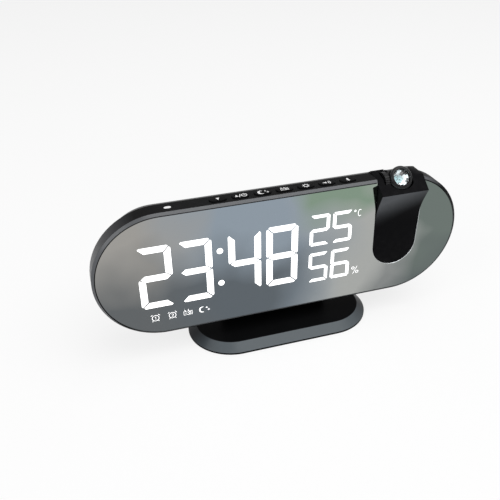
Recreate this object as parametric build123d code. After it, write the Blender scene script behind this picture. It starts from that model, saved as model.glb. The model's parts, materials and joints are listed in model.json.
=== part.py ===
"""Projection alarm clock: a pill-shaped mirror display on a low oval base.

Millimetres, +Z up, the display faces -Y. The origin is the centre of the base, on the table.
"""
from build123d import *
import math
import os

# ---------------------------------------------------------------- driving dimensions
# Face (the pill-shaped display unit)
FACE_LENGTH = 208.0
FACE_HEIGHT = 74.0
FACE_LIFT = 15.8            # table to the lowest edge of the face
RIM_BACK_Y = -4.0           # rear edge of the thin rim
RIM_DEPTH = 9.1             # flat band round the rim
RIM_CHAMFER = 1.3           # sloped strip between the band and the front
RIM_LIP = 0.4               # flat lip round the mirror
RIM_WALL = 2.2
MIRROR_THICKNESS = 2.0
MIRROR_GAP = 0.1
LEDGE_WIDTH = 3.5           # how far the mirror's seat reaches in
LEDGE_THICKNESS = 1.5

# Display stack behind the mirror
DIFFUSER_THICKNESS = 0.3
REFLECTOR_THICKNESS = 4.0
BOARD_THICKNESS = 1.6
STACK_GAP = 0.1
LED_HEIGHT = 1.0
DIGIT_WIDTH = 17.9
DIGIT_HEIGHT = 37.4
DIGIT_BASE_Z = 34.5
DIGIT_LEFT_X = (-80.5, -59.2, -32.5, -11.5)
SEGMENT_WIDTH = 3.6
COLON_X = -37.0
COLON_Z = (42.7, 62.8)
COLON_RADIUS = 1.7
SMALL_WIDTH = 11.4
SMALL_HEIGHT = 19.0
SMALL_SEGMENT = 1.9
SMALL_LEFT_X = (13.1, 26.3)
SMALL_BASE_Z = (31.9, 55.7)

# Projector block in the notch on the right
NOTCH_X = FACE_LENGTH / 2 - 38.8
NOTCH_TOP_HALF = 14.2       # half width of the notch at the rim
NOTCH_LOW_HALF = 13.3       # half width where the round bottom starts
NOTCH_ARC_Z = 47.9          # centre of the round bottom
BLOCK_GAP = 0.25
CHIN_Y = -20.35             # the chin's front edge
CHIN_Z = 82.6
CHIN_FOOT_Y = -14.4         # where the chin's face would meet the mirror's plane
CHIN_FOOT_Z = 69.65
CHIN_BLEND = 40.0           # radius of the blend from the chin into the tongue
TONGUE_FRONT_Y = -13.8
TONGUE_BACK_Y = -9.8
BLOCK_CROWN = 0.9           # how far the block stands above the rim's outline
BLOCK_BROW_Y = -12.2        # where the gentle top slope turns down to the chin
BLOCK_BROW_Z = 88.8
BLOCK_STEP_Z = 70.0         # where the block thickens behind the tongue
BLOCK_STEP_RISE = 4.0
HOOD_BACK_Y = 3.0
HOOD_BACK_Z = 84.6
POD_Y = -9.3                # tilt axis of the lens pod
POD_Z = 85.8
POD_RADIUS = 6.2
POD_LENGTH = 12.8
POD_AIM = 37.0              # lens elevation at rest, degrees above level
THUMB_WHEEL_RADIUS = 5.4
THUMB_WHEEL_WIDTH = 2.6
THUMB_WHEEL_RIBS = 24
TRUNNION_RADIUS = 1.8
TRUNNION_REACH = 2.4
RUNNING_GAP = 0.05
BARREL_RADIUS = 5.5
LENS_FRONT = 6.5            # tilt axis to the front of the focus ring
FOCUS_RING_RADIUS = 6.5
FOCUS_RING_LENGTH = 3.0
FOCUS_RING_ROUND = 1.5      # rounding of the focus ring's front
FOCUS_RING_RIBS = 20
BARREL_SETBACK = 1.0        # barrel's mouth behind the focus ring's front
LENS_RADIUS = 4.4
POCKET_GAP = 0.3
POCKET_WALL = 1.6           # wall kept between the pocket and the rear cover
LENS_TRAVEL = 0.4           # focus travel either way
LENS_EDGE = 2.0
LENS_DOME = 1.2
LAMP_DEPTH = 4.2            # tilt axis down to the lamp's seat
LIGHT_BORE_RADIUS = 3.1

# Rear cover
COVER_INSET = 8.0           # rim outline to the bulge
COVER_BACK_Y = 18.0
COVER_WALL = 2.2
COVER_FILLET = 7.0
FLANGE_THICKNESS = 2.2
FLANGE_GAP = 0.1
SCREW_RADIUS = 1.2
SCREW_HEAD_RADIUS = 2.2
SCREW_HEAD_HEIGHT = 1.2
BOSS_RADIUS = 2.6

# Top buttons
BUTTON_COUNT = 7
BUTTON_PITCH = 11.9
BUTTON_X = 0.2
BUTTON_Y = -8.8
BUTTON_LENGTH = 9.4
BUTTON_WIDTH = 5.0
BUTTON_PROUD = 0.5
BUTTON_TRAVEL = 0.3
BUTTON_GAP = 0.25
BUTTON_FLANGE = 0.5
BUTTON_FLANGE_THICKNESS = 0.8
STEM_WIDTH = 1.6
SWITCH_SIZE = (6.0, 2.4, 3.6)
SWITCH_PLUNGER_RADIUS = 0.7
SWITCH_PLUNGER_HEIGHT = 0.9
KEY_BOARD_HEIGHT = 9.0

# Light sensor in the rim
SENSOR_X = 42.7 - FACE_LENGTH / 2
SENSOR_LENGTH = 3.7
SENSOR_WIDTH = 2.2

# Base and stand
BASE_LENGTH = 109.0
BASE_DEPTH = 52.0
BASE_TOP_Z = 5.5
BASE_SKIRT_Z = 0.15         # the outer wall ends just above the table
BASE_EDGE_Z = 1.3           # where the sloped band starts
BASE_SLOPE_INSET = 4.7
BASE_SKIN = 1.3
FOOT_HEIGHT = 0.4
FOOT_RADIUS = 5.0
FOOT_SINK = 0.3
FOOT_X = BASE_LENGTH / 2 - 20.5
FOOT_Y = BASE_DEPTH / 2 - 11.0
PLATE_THICKNESS = 1.0
PLATE_GAP = 0.2
NECK_LENGTH = 66.0
NECK_DEPTH = 11.0
NECK_Y = 8.2
NECK_WALL = 2.0
NECK_FLARE = 2.0
NECK_SCREW_X = 20.0
NECK_BOSS_RADIUS = 3.2
SCREW_BITE = 7.0            # thread length in the neck

# Rear fittings and inner parts
SPEAKER_X = 46.0 - FACE_LENGTH / 2
SPEAKER_RADIUS = 18.0
SPEAKER_DEPTH = 7.0
BASKET_RIM = 2.5
BASKET_RIM_THICKNESS = 1.2
BASKET_INSET = 2.0           # speaker's edge in to the bowl
BASKET_WALL = 1.0
BASKET_WINDOW = 2.6
BASKET_WINDOW_SPREAD = 11.0
MAGNET_RADIUS = 9.0
MAGNET_THICKNESS = 3.2
MAGNET_PLATE = 0.8
CONE_DEPTH = 3.2
CONE_THROAT = 5.0
CONE_RIM = 3.3               # speaker's edge in to the cone's edge
CONE_PAPER = 0.5
CAP_RADIUS = 5.2
CAP_DROP = 4.4              # cone's edge down to the centre of its cap's dome
GRILLE_HOLE_RADIUS = 1.0
GRILLE_PITCH = 3.6
GRILLE_RINGS = 4
DOOR_X = 8.0
DOOR_WIDTH = 30.0
DOOR_HEIGHT = 27.0
DOOR_CORNER = 3.0
DOOR_THICKNESS = 1.4
DOOR_GAP = 0.3
CELL_RADIUS = 10.0
CELL_THICKNESS = 3.2
TRAY_WALL = 1.2
TRAY_GAP = 0.3
JACK_X = FACE_LENGTH / 2 - 46.0
USB_X = FACE_LENGTH / 2 - 28.0
SOCKET_Z = 43.5
JACK_RADIUS = 3.2
USB_WIDTH = 13.2
USB_HEIGHT = 5.8
USB_TONGUE_WIDTH = 11.2
MAIN_BOARD_Y = 4.0
MAIN_BOARD_LENGTH = 60.0
MAIN_BOARD_END = FACE_LENGTH / 2 - 20.0
MAIN_BOARD_X = (MAIN_BOARD_END - MAIN_BOARD_LENGTH, MAIN_BOARD_END)
MAIN_BOARD_Z = (34.0, 66.0)
BOARD_HOLE_INSET = 3.5
POST_RADIUS = 2.6
POST_PIN_RADIUS = 1.4
POST_CAP_RADIUS = 2.4
POST_CAP_THICKNESS = 1.2
CHIPS = ((14.0, 18.0, 10.0, 10.0, 1.2), (28.0, 26.0, 5.0, 4.0, 1.4), (24.0, 12.0, 4.0, 3.0, 1.0),
         (52.0, 24.0, 6.0, 4.0, 1.6), (10.0, 6.0, 3.0, 3.0, 2.0))   # x, z from the board's corner, then size
CAPACITOR_X = 42.0
CAPACITOR_Z = 18.0
CAPACITOR_RADIUS = 2.4
CAPACITOR_HEIGHT = 6.0
CRYSTAL_X = 24.0
CRYSTAL_Z = 18.5
CRYSTAL_RADIUS = 1.0
CRYSTAL_LENGTH = 6.0
LINK_X = 16.0
LINK_Z = 24.0
LINK_LENGTH = 16.0
LINK_HEIGHT = 2.5
CLIMATE_X = 46.0
CLIMATE_Z = 27.2
CLIMATE_SIZE = 4.0
CLIMATE_HEIGHT = 1.5
JACK_DEPTH = 8.0
VENT_X = FACE_LENGTH / 2 - 42.0
VENT_Z = (60.0, 67.0)
VENT_PITCH = 4.0
VENT_COUNT = 5
VENT_WIDTH = 1.4

# ---------------------------------------------------------------- derived positions
FACE_Z = FACE_LIFT + FACE_HEIGHT / 2
FACE_TOP_Z = FACE_LIFT + FACE_HEIGHT
RIM_FRONT_Y = RIM_BACK_Y - RIM_DEPTH
FRONT_Y = RIM_FRONT_Y - RIM_CHAMFER
MIRROR_SEAT_INSET = RIM_CHAMFER + RIM_LIP
MIRROR_BACK_Y = FRONT_Y + MIRROR_THICKNESS
LEDGE_BACK_Y = MIRROR_BACK_Y + LEDGE_THICKNESS
LEDGE_INSET = MIRROR_SEAT_INSET + LEDGE_WIDTH
FLANGE_FRONT_Y = RIM_BACK_Y - FLANGE_THICKNESS
COVER_BOTTOM_Z = FACE_LIFT + COVER_INSET
COVER_TOP_Z = FACE_TOP_Z - COVER_INSET
COVER_INNER_Y = COVER_BACK_Y - COVER_WALL
SPEAKER_FRONT_Y = COVER_INNER_Y - SPEAKER_DEPTH
DIFFUSER_FRONT_Y = MIRROR_BACK_Y + STACK_GAP
REFLECTOR_FRONT_Y = DIFFUSER_FRONT_Y + DIFFUSER_THICKNESS
REFLECTOR_BACK_Y = REFLECTOR_FRONT_Y + REFLECTOR_THICKNESS
DISPLAY_BOARD_Y = REFLECTOR_BACK_Y
BLOCK_TOP_Z = FACE_TOP_Z + BLOCK_CROWN
BARREL_END = LENS_FRONT - BARREL_SETBACK
LENS_SEAT = LENS_FRONT - LENS_DOME - LENS_EDGE
RIM_INNER_TOP_Z = FACE_TOP_Z - RIM_WALL
SCREW_INSET = (RIM_WALL + COVER_INSET) / 2 + 0.2
BOARD_INSET = SCREW_INSET + BOSS_RADIUS + 0.7   # display boards clear the frame's bosses
SWITCH_Y = FLANGE_FRONT_Y - 2.6
SWITCH_TOP_Z = RIM_INNER_TOP_Z - 2.2            # top of a switch's plunger at rest
SWITCH_BODY_TOP_Z = SWITCH_TOP_Z - SWITCH_PLUNGER_HEIGHT
KEY_BOARD_LOW_Z = SWITCH_BODY_TOP_Z - KEY_BOARD_HEIGHT
SCREW_SPOTS = (
    (-56.0, FACE_LIFT + SCREW_INSET),
    (0.0, FACE_LIFT + SCREW_INSET),
    (56.0, FACE_LIFT + SCREW_INSET),
    (-54.0, FACE_TOP_Z - SCREW_INSET),
    (45.8, FACE_TOP_Z - SCREW_INSET),
    (-FACE_LENGTH / 2 + SCREW_INSET, FACE_Z),
    (FACE_LENGTH / 2 - SCREW_INSET, FACE_Z),
)
BUTTON_XS = [BUTTON_X + (i - (BUTTON_COUNT - 1) / 2) * BUTTON_PITCH for i in range(BUTTON_COUNT)]
KEY_BOARD_X = (BUTTON_XS[0] - 6.5, BUTTON_XS[-1] + 6.5)
PLATE_INSET = BASE_SKIN + PLATE_GAP
TRAY_BACK_Y = COVER_BACK_Y - DOOR_THICKNESS
CELL_Z = FACE_Z


# ---------------------------------------------------------------- shape helpers
MIN_Z = (Align.CENTER, Align.CENTER, Align.MIN)


def front_plane(x, y, z):
    """A sketch plane facing the front, with its x to the right and its y up."""
    return Plane(origin=(x, y, z), x_dir=(1, 0, 0), z_dir=(0, -1, 0))


def pill(inset, front_y, back_y, x=0.0, z=FACE_Z):
    """The face's outline moved in by inset, from front_y to back_y."""
    outline = SlotOverall(FACE_LENGTH - 2 * inset, FACE_HEIGHT - 2 * inset)
    return extrude(front_plane(x, back_y, z) * outline, back_y - front_y)


def oval(length, depth, low_z, high_z, x=0.0, y=0.0):
    """An upright slot-shaped column."""
    return extrude(Plane(origin=(x, y, low_z)) * SlotOverall(length, depth), high_z - low_z)


def block(low, high):
    """A box between two corners."""
    size = [high[i] - low[i] for i in range(3)]
    middle = [(high[i] + low[i]) / 2 for i in range(3)]
    return Pos(*middle) * Box(*size)


def rod_x(radius, low_x, high_x, y, z):
    return Pos((low_x + high_x) / 2, y, z) * Rot(0, 90, 0) * Cylinder(radius, high_x - low_x)


def rod_y(radius, low_y, high_y, x, z):
    return Pos(x, (low_y + high_y) / 2, z) * Rot(90, 0, 0) * Cylinder(radius, high_y - low_y)


def rod_z(radius, low_z, high_z, x, y):
    return Pos(x, y, (low_z + high_z) / 2) * Cylinder(radius, high_z - low_z)


def notch(gap, front_y, back_y):
    """The U-shaped notch, open at the top, made smaller all round by gap."""
    top_z = FACE_TOP_Z + 12.0
    slope = (NOTCH_TOP_HALF - NOTCH_LOW_HALF) / (FACE_TOP_Z - NOTCH_ARC_Z)
    low = NOTCH_LOW_HALF - gap
    high = low + slope * (top_z - NOTCH_ARC_Z)
    with BuildSketch(front_plane(NOTCH_X, back_y, NOTCH_ARC_Z)) as sketch:
        with BuildLine():
            Polyline((-low, 0), (-high, top_z - NOTCH_ARC_Z), (high, top_z - NOTCH_ARC_Z), (low, 0))
            ThreePointArc((low, 0), (0, -low), (-low, 0))
        make_face()
    return extrude(sketch.sketch, back_y - front_y)


def screw_set(spots, head_y, tip_y):
    """Screws along Y with their heads at head_y."""
    neck_y = head_y - SCREW_HEAD_HEIGHT
    return [rod_y(SCREW_RADIUS, tip_y, neck_y, x, z) + rod_y(SCREW_HEAD_RADIUS, neck_y, head_y, x, z)
            - block((x - 1.5, head_y - 0.5, z - 0.25), (x + 1.5, head_y + 1, z + 0.25))
            for x, z in spots]


def bar(x0, z0, x1, z1, width, front_y, back_y):
    """One display segment: a bar with pointed ends, level or upright."""
    half = width / 2
    if abs(x1 - x0) > abs(z1 - z0):
        points = ((x0, z0), (x0 + half, z0 + half), (x1 - half, z0 + half),
                  (x1, z0), (x1 - half, z0 - half), (x0 + half, z0 - half))
    else:
        points = ((x0, z0), (x0 + half, z0 + half), (x0 + half, z1 - half),
                  (x0, z1), (x0 - half, z1 - half), (x0 - half, z0 + half))
    with BuildSketch(front_plane(0, back_y, 0)) as sketch:
        with BuildLine():
            Polyline(*points, close=True)
        make_face()
    return extrude(sketch.sketch, back_y - front_y)


def digit(left_x, base_z, width, height, segment, front_y, back_y):
    """All seven segments of one digit, with a small gap between neighbours."""
    half = segment / 2
    space = segment * 0.12
    left, right = left_x + half, left_x + width - half
    low, mid, high = base_z + half, base_z + height / 2, base_z + height - half
    level = [bar(left + space, z, right - space, z, segment, front_y, back_y) for z in (low, mid, high)]
    upright = [bar(x, z0 + space, x, z1 - space, segment, front_y, back_y)
               for x in (left, right) for z0, z1 in ((low, mid), (mid, high))]
    return level + upright


def display_windows(front_y, back_y):
    """Every lit shape of the display as a prism from front_y to back_y."""
    shapes = []
    for left_x in DIGIT_LEFT_X:
        shapes += digit(left_x, DIGIT_BASE_Z, DIGIT_WIDTH, DIGIT_HEIGHT, SEGMENT_WIDTH, front_y, back_y)
    for left_x in SMALL_LEFT_X:
        for base_z in SMALL_BASE_Z:
            shapes += digit(left_x, base_z, SMALL_WIDTH, SMALL_HEIGHT, SMALL_SEGMENT, front_y, back_y)
    shapes += [rod_y(COLON_RADIUS, front_y, back_y, COLON_X, z) for z in COLON_Z]
    return shapes


# ---------------------------------------------------------------- face: frame, mirror, display
def front_frame():
    body = pill(0, FRONT_Y, RIM_BACK_Y)
    front_edges = body.faces().sort_by(Axis.Y)[0].edges()
    body = chamfer(front_edges, RIM_CHAMFER)
    body -= pill(MIRROR_SEAT_INSET, FRONT_Y - 1, MIRROR_BACK_Y)
    body -= pill(LEDGE_INSET, FRONT_Y - 1, LEDGE_BACK_Y + 1)
    body -= pill(RIM_WALL, LEDGE_BACK_Y, RIM_BACK_Y + 1)
    for x, z in SCREW_SPOTS:
        body += rod_y(BOSS_RADIUS, LEDGE_BACK_Y, FLANGE_FRONT_Y, x, z)
        body -= rod_y(SCREW_RADIUS, LEDGE_BACK_Y + 0.3, FLANGE_FRONT_Y + 1, x, z)
    body -= notch(0, FRONT_Y - 1, RIM_BACK_Y + 1)
    for x in BUTTON_XS:
        body -= oval(BUTTON_LENGTH, BUTTON_WIDTH, RIM_INNER_TOP_Z - 1, FACE_TOP_Z + 1, x, BUTTON_Y)
    body -= oval(SENSOR_LENGTH, SENSOR_WIDTH, RIM_INNER_TOP_Z - 1, FACE_TOP_Z + 1, SENSOR_X, BUTTON_Y)
    # room above the ledge for the key caps' flanges
    reach = BUTTON_LENGTH / 2 + BUTTON_FLANGE + BUTTON_GAP
    body -= block((BUTTON_XS[0] - reach, BUTTON_Y - BUTTON_WIDTH / 2 - BUTTON_FLANGE, RIM_INNER_TOP_Z - 6),
                  (BUTTON_XS[-1] + reach, FLANGE_FRONT_Y, RIM_INNER_TOP_Z))
    return body


def mirror_panel():
    body = pill(MIRROR_SEAT_INSET + MIRROR_GAP, FRONT_Y, MIRROR_BACK_Y)
    return body - notch(0, FRONT_Y - 1, MIRROR_BACK_Y + 1)


def display_outline(inset, front_y, back_y):
    """A layer of the display stack, kept clear of the notch."""
    return pill(inset, front_y, back_y) - notch(-STACK_GAP, front_y - 1, back_y + 1)


def diffuser_film():
    return display_outline(LEDGE_INSET + STACK_GAP, DIFFUSER_FRONT_Y, REFLECTOR_FRONT_Y)


def key_bay(front_y, back_y):
    """The space that the key board and its switches take under the rim."""
    return block((KEY_BOARD_X[0] - 1.5, front_y, KEY_BOARD_LOW_Z - 1.5),
                 (KEY_BOARD_X[1] + 1.5, back_y, FACE_TOP_Z))


def segment_reflector():
    step_y = LEDGE_BACK_Y - STACK_GAP
    front = display_outline(LEDGE_INSET + STACK_GAP, REFLECTOR_FRONT_Y, step_y)
    back = display_outline(BOARD_INSET, step_y, REFLECTOR_BACK_Y)
    body = front + back - key_bay(step_y - STACK_GAP, REFLECTOR_BACK_Y + 1)
    for shape in display_windows(REFLECTOR_FRONT_Y - 1, REFLECTOR_BACK_Y + 1):
        body -= shape
    return body


def segment_light_guides():
    depth = REFLECTOR_BACK_Y - LED_HEIGHT - STACK_GAP
    return display_windows(REFLECTOR_FRONT_Y, depth)


def display_board():
    back_y = DISPLAY_BOARD_Y + BOARD_THICKNESS
    return display_outline(BOARD_INSET, DISPLAY_BOARD_Y, back_y) - key_bay(DISPLAY_BOARD_Y - 1, back_y + 1)


def display_leds():
    chips = []
    half = SEGMENT_WIDTH / 2
    for left_x in DIGIT_LEFT_X:
        for z in (DIGIT_BASE_Z + half, DIGIT_BASE_Z + DIGIT_HEIGHT / 2, DIGIT_BASE_Z + DIGIT_HEIGHT - half):
            chips.append((left_x + DIGIT_WIDTH / 2, z))
        for x in (left_x + half, left_x + DIGIT_WIDTH - half):
            for share in (0.27, 0.73):
                chips.append((x, DIGIT_BASE_Z + DIGIT_HEIGHT * share))
    chips += [(COLON_X, z) for z in COLON_Z]
    return [block((x - 0.8, DISPLAY_BOARD_Y - LED_HEIGHT, z - 0.8), (x + 0.8, DISPLAY_BOARD_Y, z + 0.8))
            for x, z in chips]


# ---------------------------------------------------------------- projector
def projector_block():
    """The fixed block: hood, chin and the tongue that fills the notch."""
    hood_low = COVER_TOP_Z + STACK_GAP
    profile = [
        (RIM_BACK_Y, BLOCK_TOP_Z), (BLOCK_BROW_Y, BLOCK_BROW_Z), (CHIN_Y, CHIN_Z),
        (TONGUE_FRONT_Y, chin_line_z(TONGUE_FRONT_Y)), (TONGUE_FRONT_Y, FACE_LIFT),
        (TONGUE_BACK_Y, FACE_LIFT), (TONGUE_BACK_Y, BLOCK_STEP_Z),
        (RIM_BACK_Y, BLOCK_STEP_Z + BLOCK_STEP_RISE), (RIM_BACK_Y, hood_low),
        (HOOD_BACK_Y, hood_low), (HOOD_BACK_Y, HOOD_BACK_Z),
    ]
    half_width = NOTCH_TOP_HALF + 5
    side = Plane(origin=(NOTCH_X - half_width, 0, 0), x_dir=(0, 1, 0), z_dir=(1, 0, 0))
    with BuildSketch(side) as sketch:
        with BuildLine():
            Polyline(*profile, close=True)
        make_face()
    body = extrude(sketch.sketch, 2 * half_width)
    blend_edge = body.edges().filter_by(Axis.X).sort_by(
        lambda e: (e.center().Y - TONGUE_FRONT_Y) ** 2 + (e.center().Z - chin_line_z(TONGUE_FRONT_Y)) ** 2)[0]
    body = fillet(blend_edge, CHIN_BLEND)
    body = body & notch(BLOCK_GAP, CHIN_Y - 5, HOOD_BACK_Y + 5)
    # its crown follows the face's round end
    body = body & pill(-BLOCK_CROWN, CHIN_Y - 5, HOOD_BACK_Y + 5)
    # the pod swings in a ball-shaped pocket; its thumb wheel turns in a narrower one on the left
    shoulder = math.hypot(LENS_FRONT - FOCUS_RING_ROUND, FOCUS_RING_RADIUS - FOCUS_RING_ROUND)
    swing = max(shoulder + FOCUS_RING_ROUND, math.hypot(POD_LENGTH / 2, POD_RADIUS)) + POCKET_GAP
    half = POD_LENGTH / 2 + POCKET_GAP
    pocket = Pos(NOTCH_X, POD_Y, POD_Z) * Sphere(swing)
    pocket &= block((NOTCH_X - half, POD_Y - swing, POD_Z - swing),
                    (NOTCH_X + half, POD_Y + swing, POD_Z + swing))
    pocket -= block((NOTCH_X - half_width, RIM_BACK_Y - POCKET_WALL, FACE_Z),
                    (NOTCH_X + half_width, COVER_BACK_Y, COVER_TOP_Z - COVER_WALL + STACK_GAP))
    wheels = half + THUMB_WHEEL_WIDTH + 2 * POCKET_GAP
    body -= pocket
    body -= rod_x(THUMB_WHEEL_RADIUS + POCKET_GAP, NOTCH_X - wheels, NOTCH_X, POD_Y, POD_Z)
    body -= rod_x(TRUNNION_RADIUS + RUNNING_GAP, NOTCH_X - wheels - TRUNNION_REACH,
                  NOTCH_X + half + TRUNNION_REACH, POD_Y, POD_Z)
    return body


def chin_line_z(y):
    """Height of the chin's flat face where it crosses the given y."""
    slope = (CHIN_Z - CHIN_FOOT_Z) / (CHIN_Y - CHIN_FOOT_Y)
    return CHIN_FOOT_Z + slope * (y - CHIN_FOOT_Y)


def aimed(shape):
    """Turn a shape built along +Z about the tilt axis to the lens's rest aim."""
    return Pos(NOTCH_X, POD_Y, POD_Z) * Rot(90 - POD_AIM, 0, 0) * shape


def lens_pod():
    """The tilting drum with its barrel, thumb wheel and trunnions."""
    half = POD_LENGTH / 2
    inner = half + POCKET_GAP
    outer = inner + THUMB_WHEEL_WIDTH
    body = rod_x(POD_RADIUS, NOTCH_X - half, NOTCH_X + half, POD_Y, POD_Z)
    body += rod_x(POD_RADIUS - 1.2, NOTCH_X - inner, NOTCH_X, POD_Y, POD_Z)
    # a flat in front of the drum seats the focus ring round the barrel
    flat = LENS_FRONT - FOCUS_RING_LENGTH - 0.15
    body -= aimed(Pos(0, 0, flat) * Box(2 * inner, 4 * POD_RADIUS, POD_RADIUS, align=MIN_Z))
    body += aimed(Cylinder(BARREL_RADIUS, BARREL_END, align=MIN_Z))
    wheel = rod_x(THUMB_WHEEL_RADIUS, NOTCH_X - outer, NOTCH_X - inner, POD_Y, POD_Z)
    for i in range(THUMB_WHEEL_RIBS):
        angle = 2 * math.pi * i / THUMB_WHEEL_RIBS
        y = POD_Y + THUMB_WHEEL_RADIUS * math.cos(angle)
        z = POD_Z + THUMB_WHEEL_RADIUS * math.sin(angle)
        wheel -= rod_x(0.35, NOTCH_X - outer - 1, NOTCH_X - inner + 1, y, z)
    body += wheel
    body += rod_x(TRUNNION_RADIUS, NOTCH_X - outer - TRUNNION_REACH, NOTCH_X + half + TRUNNION_REACH - 0.3,
                  POD_Y, POD_Z)
    # the light path: the lens's sliding bore, then the cavity for the pane and the lamp
    body -= aimed(Pos(0, 0, LENS_SEAT - LENS_TRAVEL) * Cylinder(LENS_RADIUS + RUNNING_GAP, 8, align=MIN_Z))
    body -= aimed(Pos(0, 0, -LAMP_DEPTH) * Cylinder(LIGHT_BORE_RADIUS, 2 * POD_RADIUS, align=MIN_Z))
    return body


def focus_ring():
    ring = Cylinder(FOCUS_RING_RADIUS, FOCUS_RING_LENGTH, align=MIN_Z)
    ring = fillet(ring.edges().sort_by(Axis.Z)[-1], FOCUS_RING_ROUND)
    barrel_room = BARREL_END + 0.1 - (LENS_FRONT - FOCUS_RING_LENGTH)
    ring -= Cylinder(BARREL_RADIUS + RUNNING_GAP, barrel_room, align=MIN_Z)
    ring -= Cylinder(LENS_RADIUS + POCKET_GAP, FOCUS_RING_LENGTH, align=MIN_Z)
    for i in range(FOCUS_RING_RIBS):
        angle = 2 * math.pi * i / FOCUS_RING_RIBS
        spot = Pos(FOCUS_RING_RADIUS * math.cos(angle), FOCUS_RING_RADIUS * math.sin(angle), 0)
        ring -= spot * Cylinder(0.3, FOCUS_RING_LENGTH - FOCUS_RING_ROUND, align=MIN_Z)
    return aimed(Pos(0, 0, LENS_FRONT - FOCUS_RING_LENGTH) * ring)


def projection_lens():
    """The domed lens, which slides in the barrel as the focus ring turns."""
    edge_top = LENS_SEAT + LENS_EDGE
    sphere_radius = (LENS_RADIUS ** 2 + LENS_DOME ** 2) / (2 * LENS_DOME)
    dome = Pos(0, 0, edge_top + LENS_DOME - sphere_radius) * Sphere(sphere_radius)
    dome &= Pos(0, 0, edge_top) * Cylinder(LENS_RADIUS, 2 * LENS_DOME, align=MIN_Z)
    return aimed(Pos(0, 0, LENS_SEAT) * Cylinder(LENS_RADIUS, LENS_EDGE, align=MIN_Z) + dome)


def time_slide():
    """The small liquid-crystal pane whose numbers are projected."""
    return aimed(Pos(0, 0, 1.4) * Box(4.0, 4.0, 0.8))


def projection_lamp():
    """The lamp on its disc, at the bottom of the light bore."""
    body = Cylinder(2.2, 1.2, align=MIN_Z)
    body += Pos(0, 0, 1.2) * Cylinder(1.6, 1.5, align=MIN_Z)
    body += Pos(0, 0, 2.7) * Sphere(1.6)
    return aimed(Pos(0, 0, -LAMP_DEPTH) * body)


# ---------------------------------------------------------------- rear cover and its fittings
def rear_cover():
    flange = pill(RIM_WALL + FLANGE_GAP, FLANGE_FRONT_Y, RIM_BACK_Y)
    bulge = pill(COVER_INSET, RIM_BACK_Y - 0.5, COVER_BACK_Y)
    bulge = fillet(bulge.faces().sort_by(Axis.Y)[-1].edges(), COVER_FILLET)
    inner = pill(COVER_INSET + COVER_WALL, FLANGE_FRONT_Y - 1, COVER_INNER_Y)
    inner = fillet(inner.faces().sort_by(Axis.Y)[-1].edges(), COVER_FILLET - COVER_WALL)
    body = flange + bulge - inner
    body -= notch(-0.05, FLANGE_FRONT_Y - 1, RIM_BACK_Y)
    for x, z in SCREW_SPOTS:
        body -= rod_y(SCREW_RADIUS + 0.1, FLANGE_FRONT_Y - 1, RIM_BACK_Y + 1, x, z)
        body -= rod_y(SCREW_HEAD_RADIUS + 0.1, RIM_BACK_Y - SCREW_HEAD_HEIGHT, COVER_BACK_Y, x, z)
    # speaker seat and grille
    body += rod_y(SPEAKER_RADIUS + 1.6, COVER_INNER_Y - 2.5, COVER_INNER_Y + 0.2, SPEAKER_X, FACE_Z) \
        - rod_y(SPEAKER_RADIUS + 0.1, COVER_INNER_Y - 4, COVER_INNER_Y, SPEAKER_X, FACE_Z)
    for ring in range(GRILLE_RINGS + 1):
        count = max(1, 6 * ring)
        for i in range(count):
            angle = 2 * math.pi * i / count
            x = SPEAKER_X + ring * GRILLE_PITCH * math.cos(angle)
            z = FACE_Z + ring * GRILLE_PITCH * math.sin(angle)
            body -= rod_y(GRILLE_HOLE_RADIUS, COVER_INNER_Y - 1, COVER_BACK_Y + 1, x, z)
    # cell tray behind the door
    body += tray_block() - tray_room()
    body -= tray_room()
    body -= door_outline(DOOR_GAP, COVER_BACK_Y - DOOR_THICKNESS, COVER_BACK_Y + 1)
    # sockets
    body -= rod_y(JACK_RADIUS + 0.2, COVER_INNER_Y - 1, COVER_BACK_Y + 1, JACK_X, SOCKET_Z)
    body -= block((USB_X - USB_WIDTH / 2 - 0.2, COVER_INNER_Y - 1, SOCKET_Z - USB_HEIGHT / 2 - 0.2),
                  (USB_X + USB_WIDTH / 2 + 0.2, COVER_BACK_Y + 1, SOCKET_Z + USB_HEIGHT / 2 + 0.2))
    # air slots over the temperature sensor
    for i in range(VENT_COUNT):
        x = VENT_X + VENT_PITCH * i
        body -= block((x - VENT_WIDTH / 2, COVER_INNER_Y - 1, VENT_Z[0]),
                      (x + VENT_WIDTH / 2, COVER_BACK_Y + 1, VENT_Z[1]))
    # screw holes over the neck
    for x in (-NECK_SCREW_X, NECK_SCREW_X):
        body -= rod_z(SCREW_RADIUS + 0.1, COVER_BOTTOM_Z - 1, COVER_BOTTOM_Z + COVER_WALL + 1, x, NECK_Y)
    return body


def tray_block():
    """Walls round the coin cell, inside the rear cover."""
    reach = CELL_RADIUS + TRAY_GAP + TRAY_WALL
    return rod_y(reach, TRAY_BACK_Y - CELL_THICKNESS - 2.6, COVER_INNER_Y + 0.2, DOOR_X, CELL_Z)


def tray_room():
    return rod_y(CELL_RADIUS + TRAY_GAP, TRAY_BACK_Y - CELL_THICKNESS - 1.4, COVER_BACK_Y + 1, DOOR_X, CELL_Z)


def door_outline(gap, front_y, back_y):
    shape = RectangleRounded(DOOR_WIDTH + 2 * gap, DOOR_HEIGHT + 2 * gap, DOOR_CORNER + gap)
    return extrude(front_plane(DOOR_X, back_y, CELL_Z) * shape, back_y - front_y)


def battery_door():
    body = door_outline(0, COVER_BACK_Y - DOOR_THICKNESS + 0.05, COVER_BACK_Y)
    # a pair of finger ridges
    for i in range(3):
        z = CELL_Z - 10.0 + 1.6 * i
        body -= block((DOOR_X - 5, COVER_BACK_Y - 0.4, z - 0.35), (DOOR_X + 5, COVER_BACK_Y + 1, z + 0.35))
    return body


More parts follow.
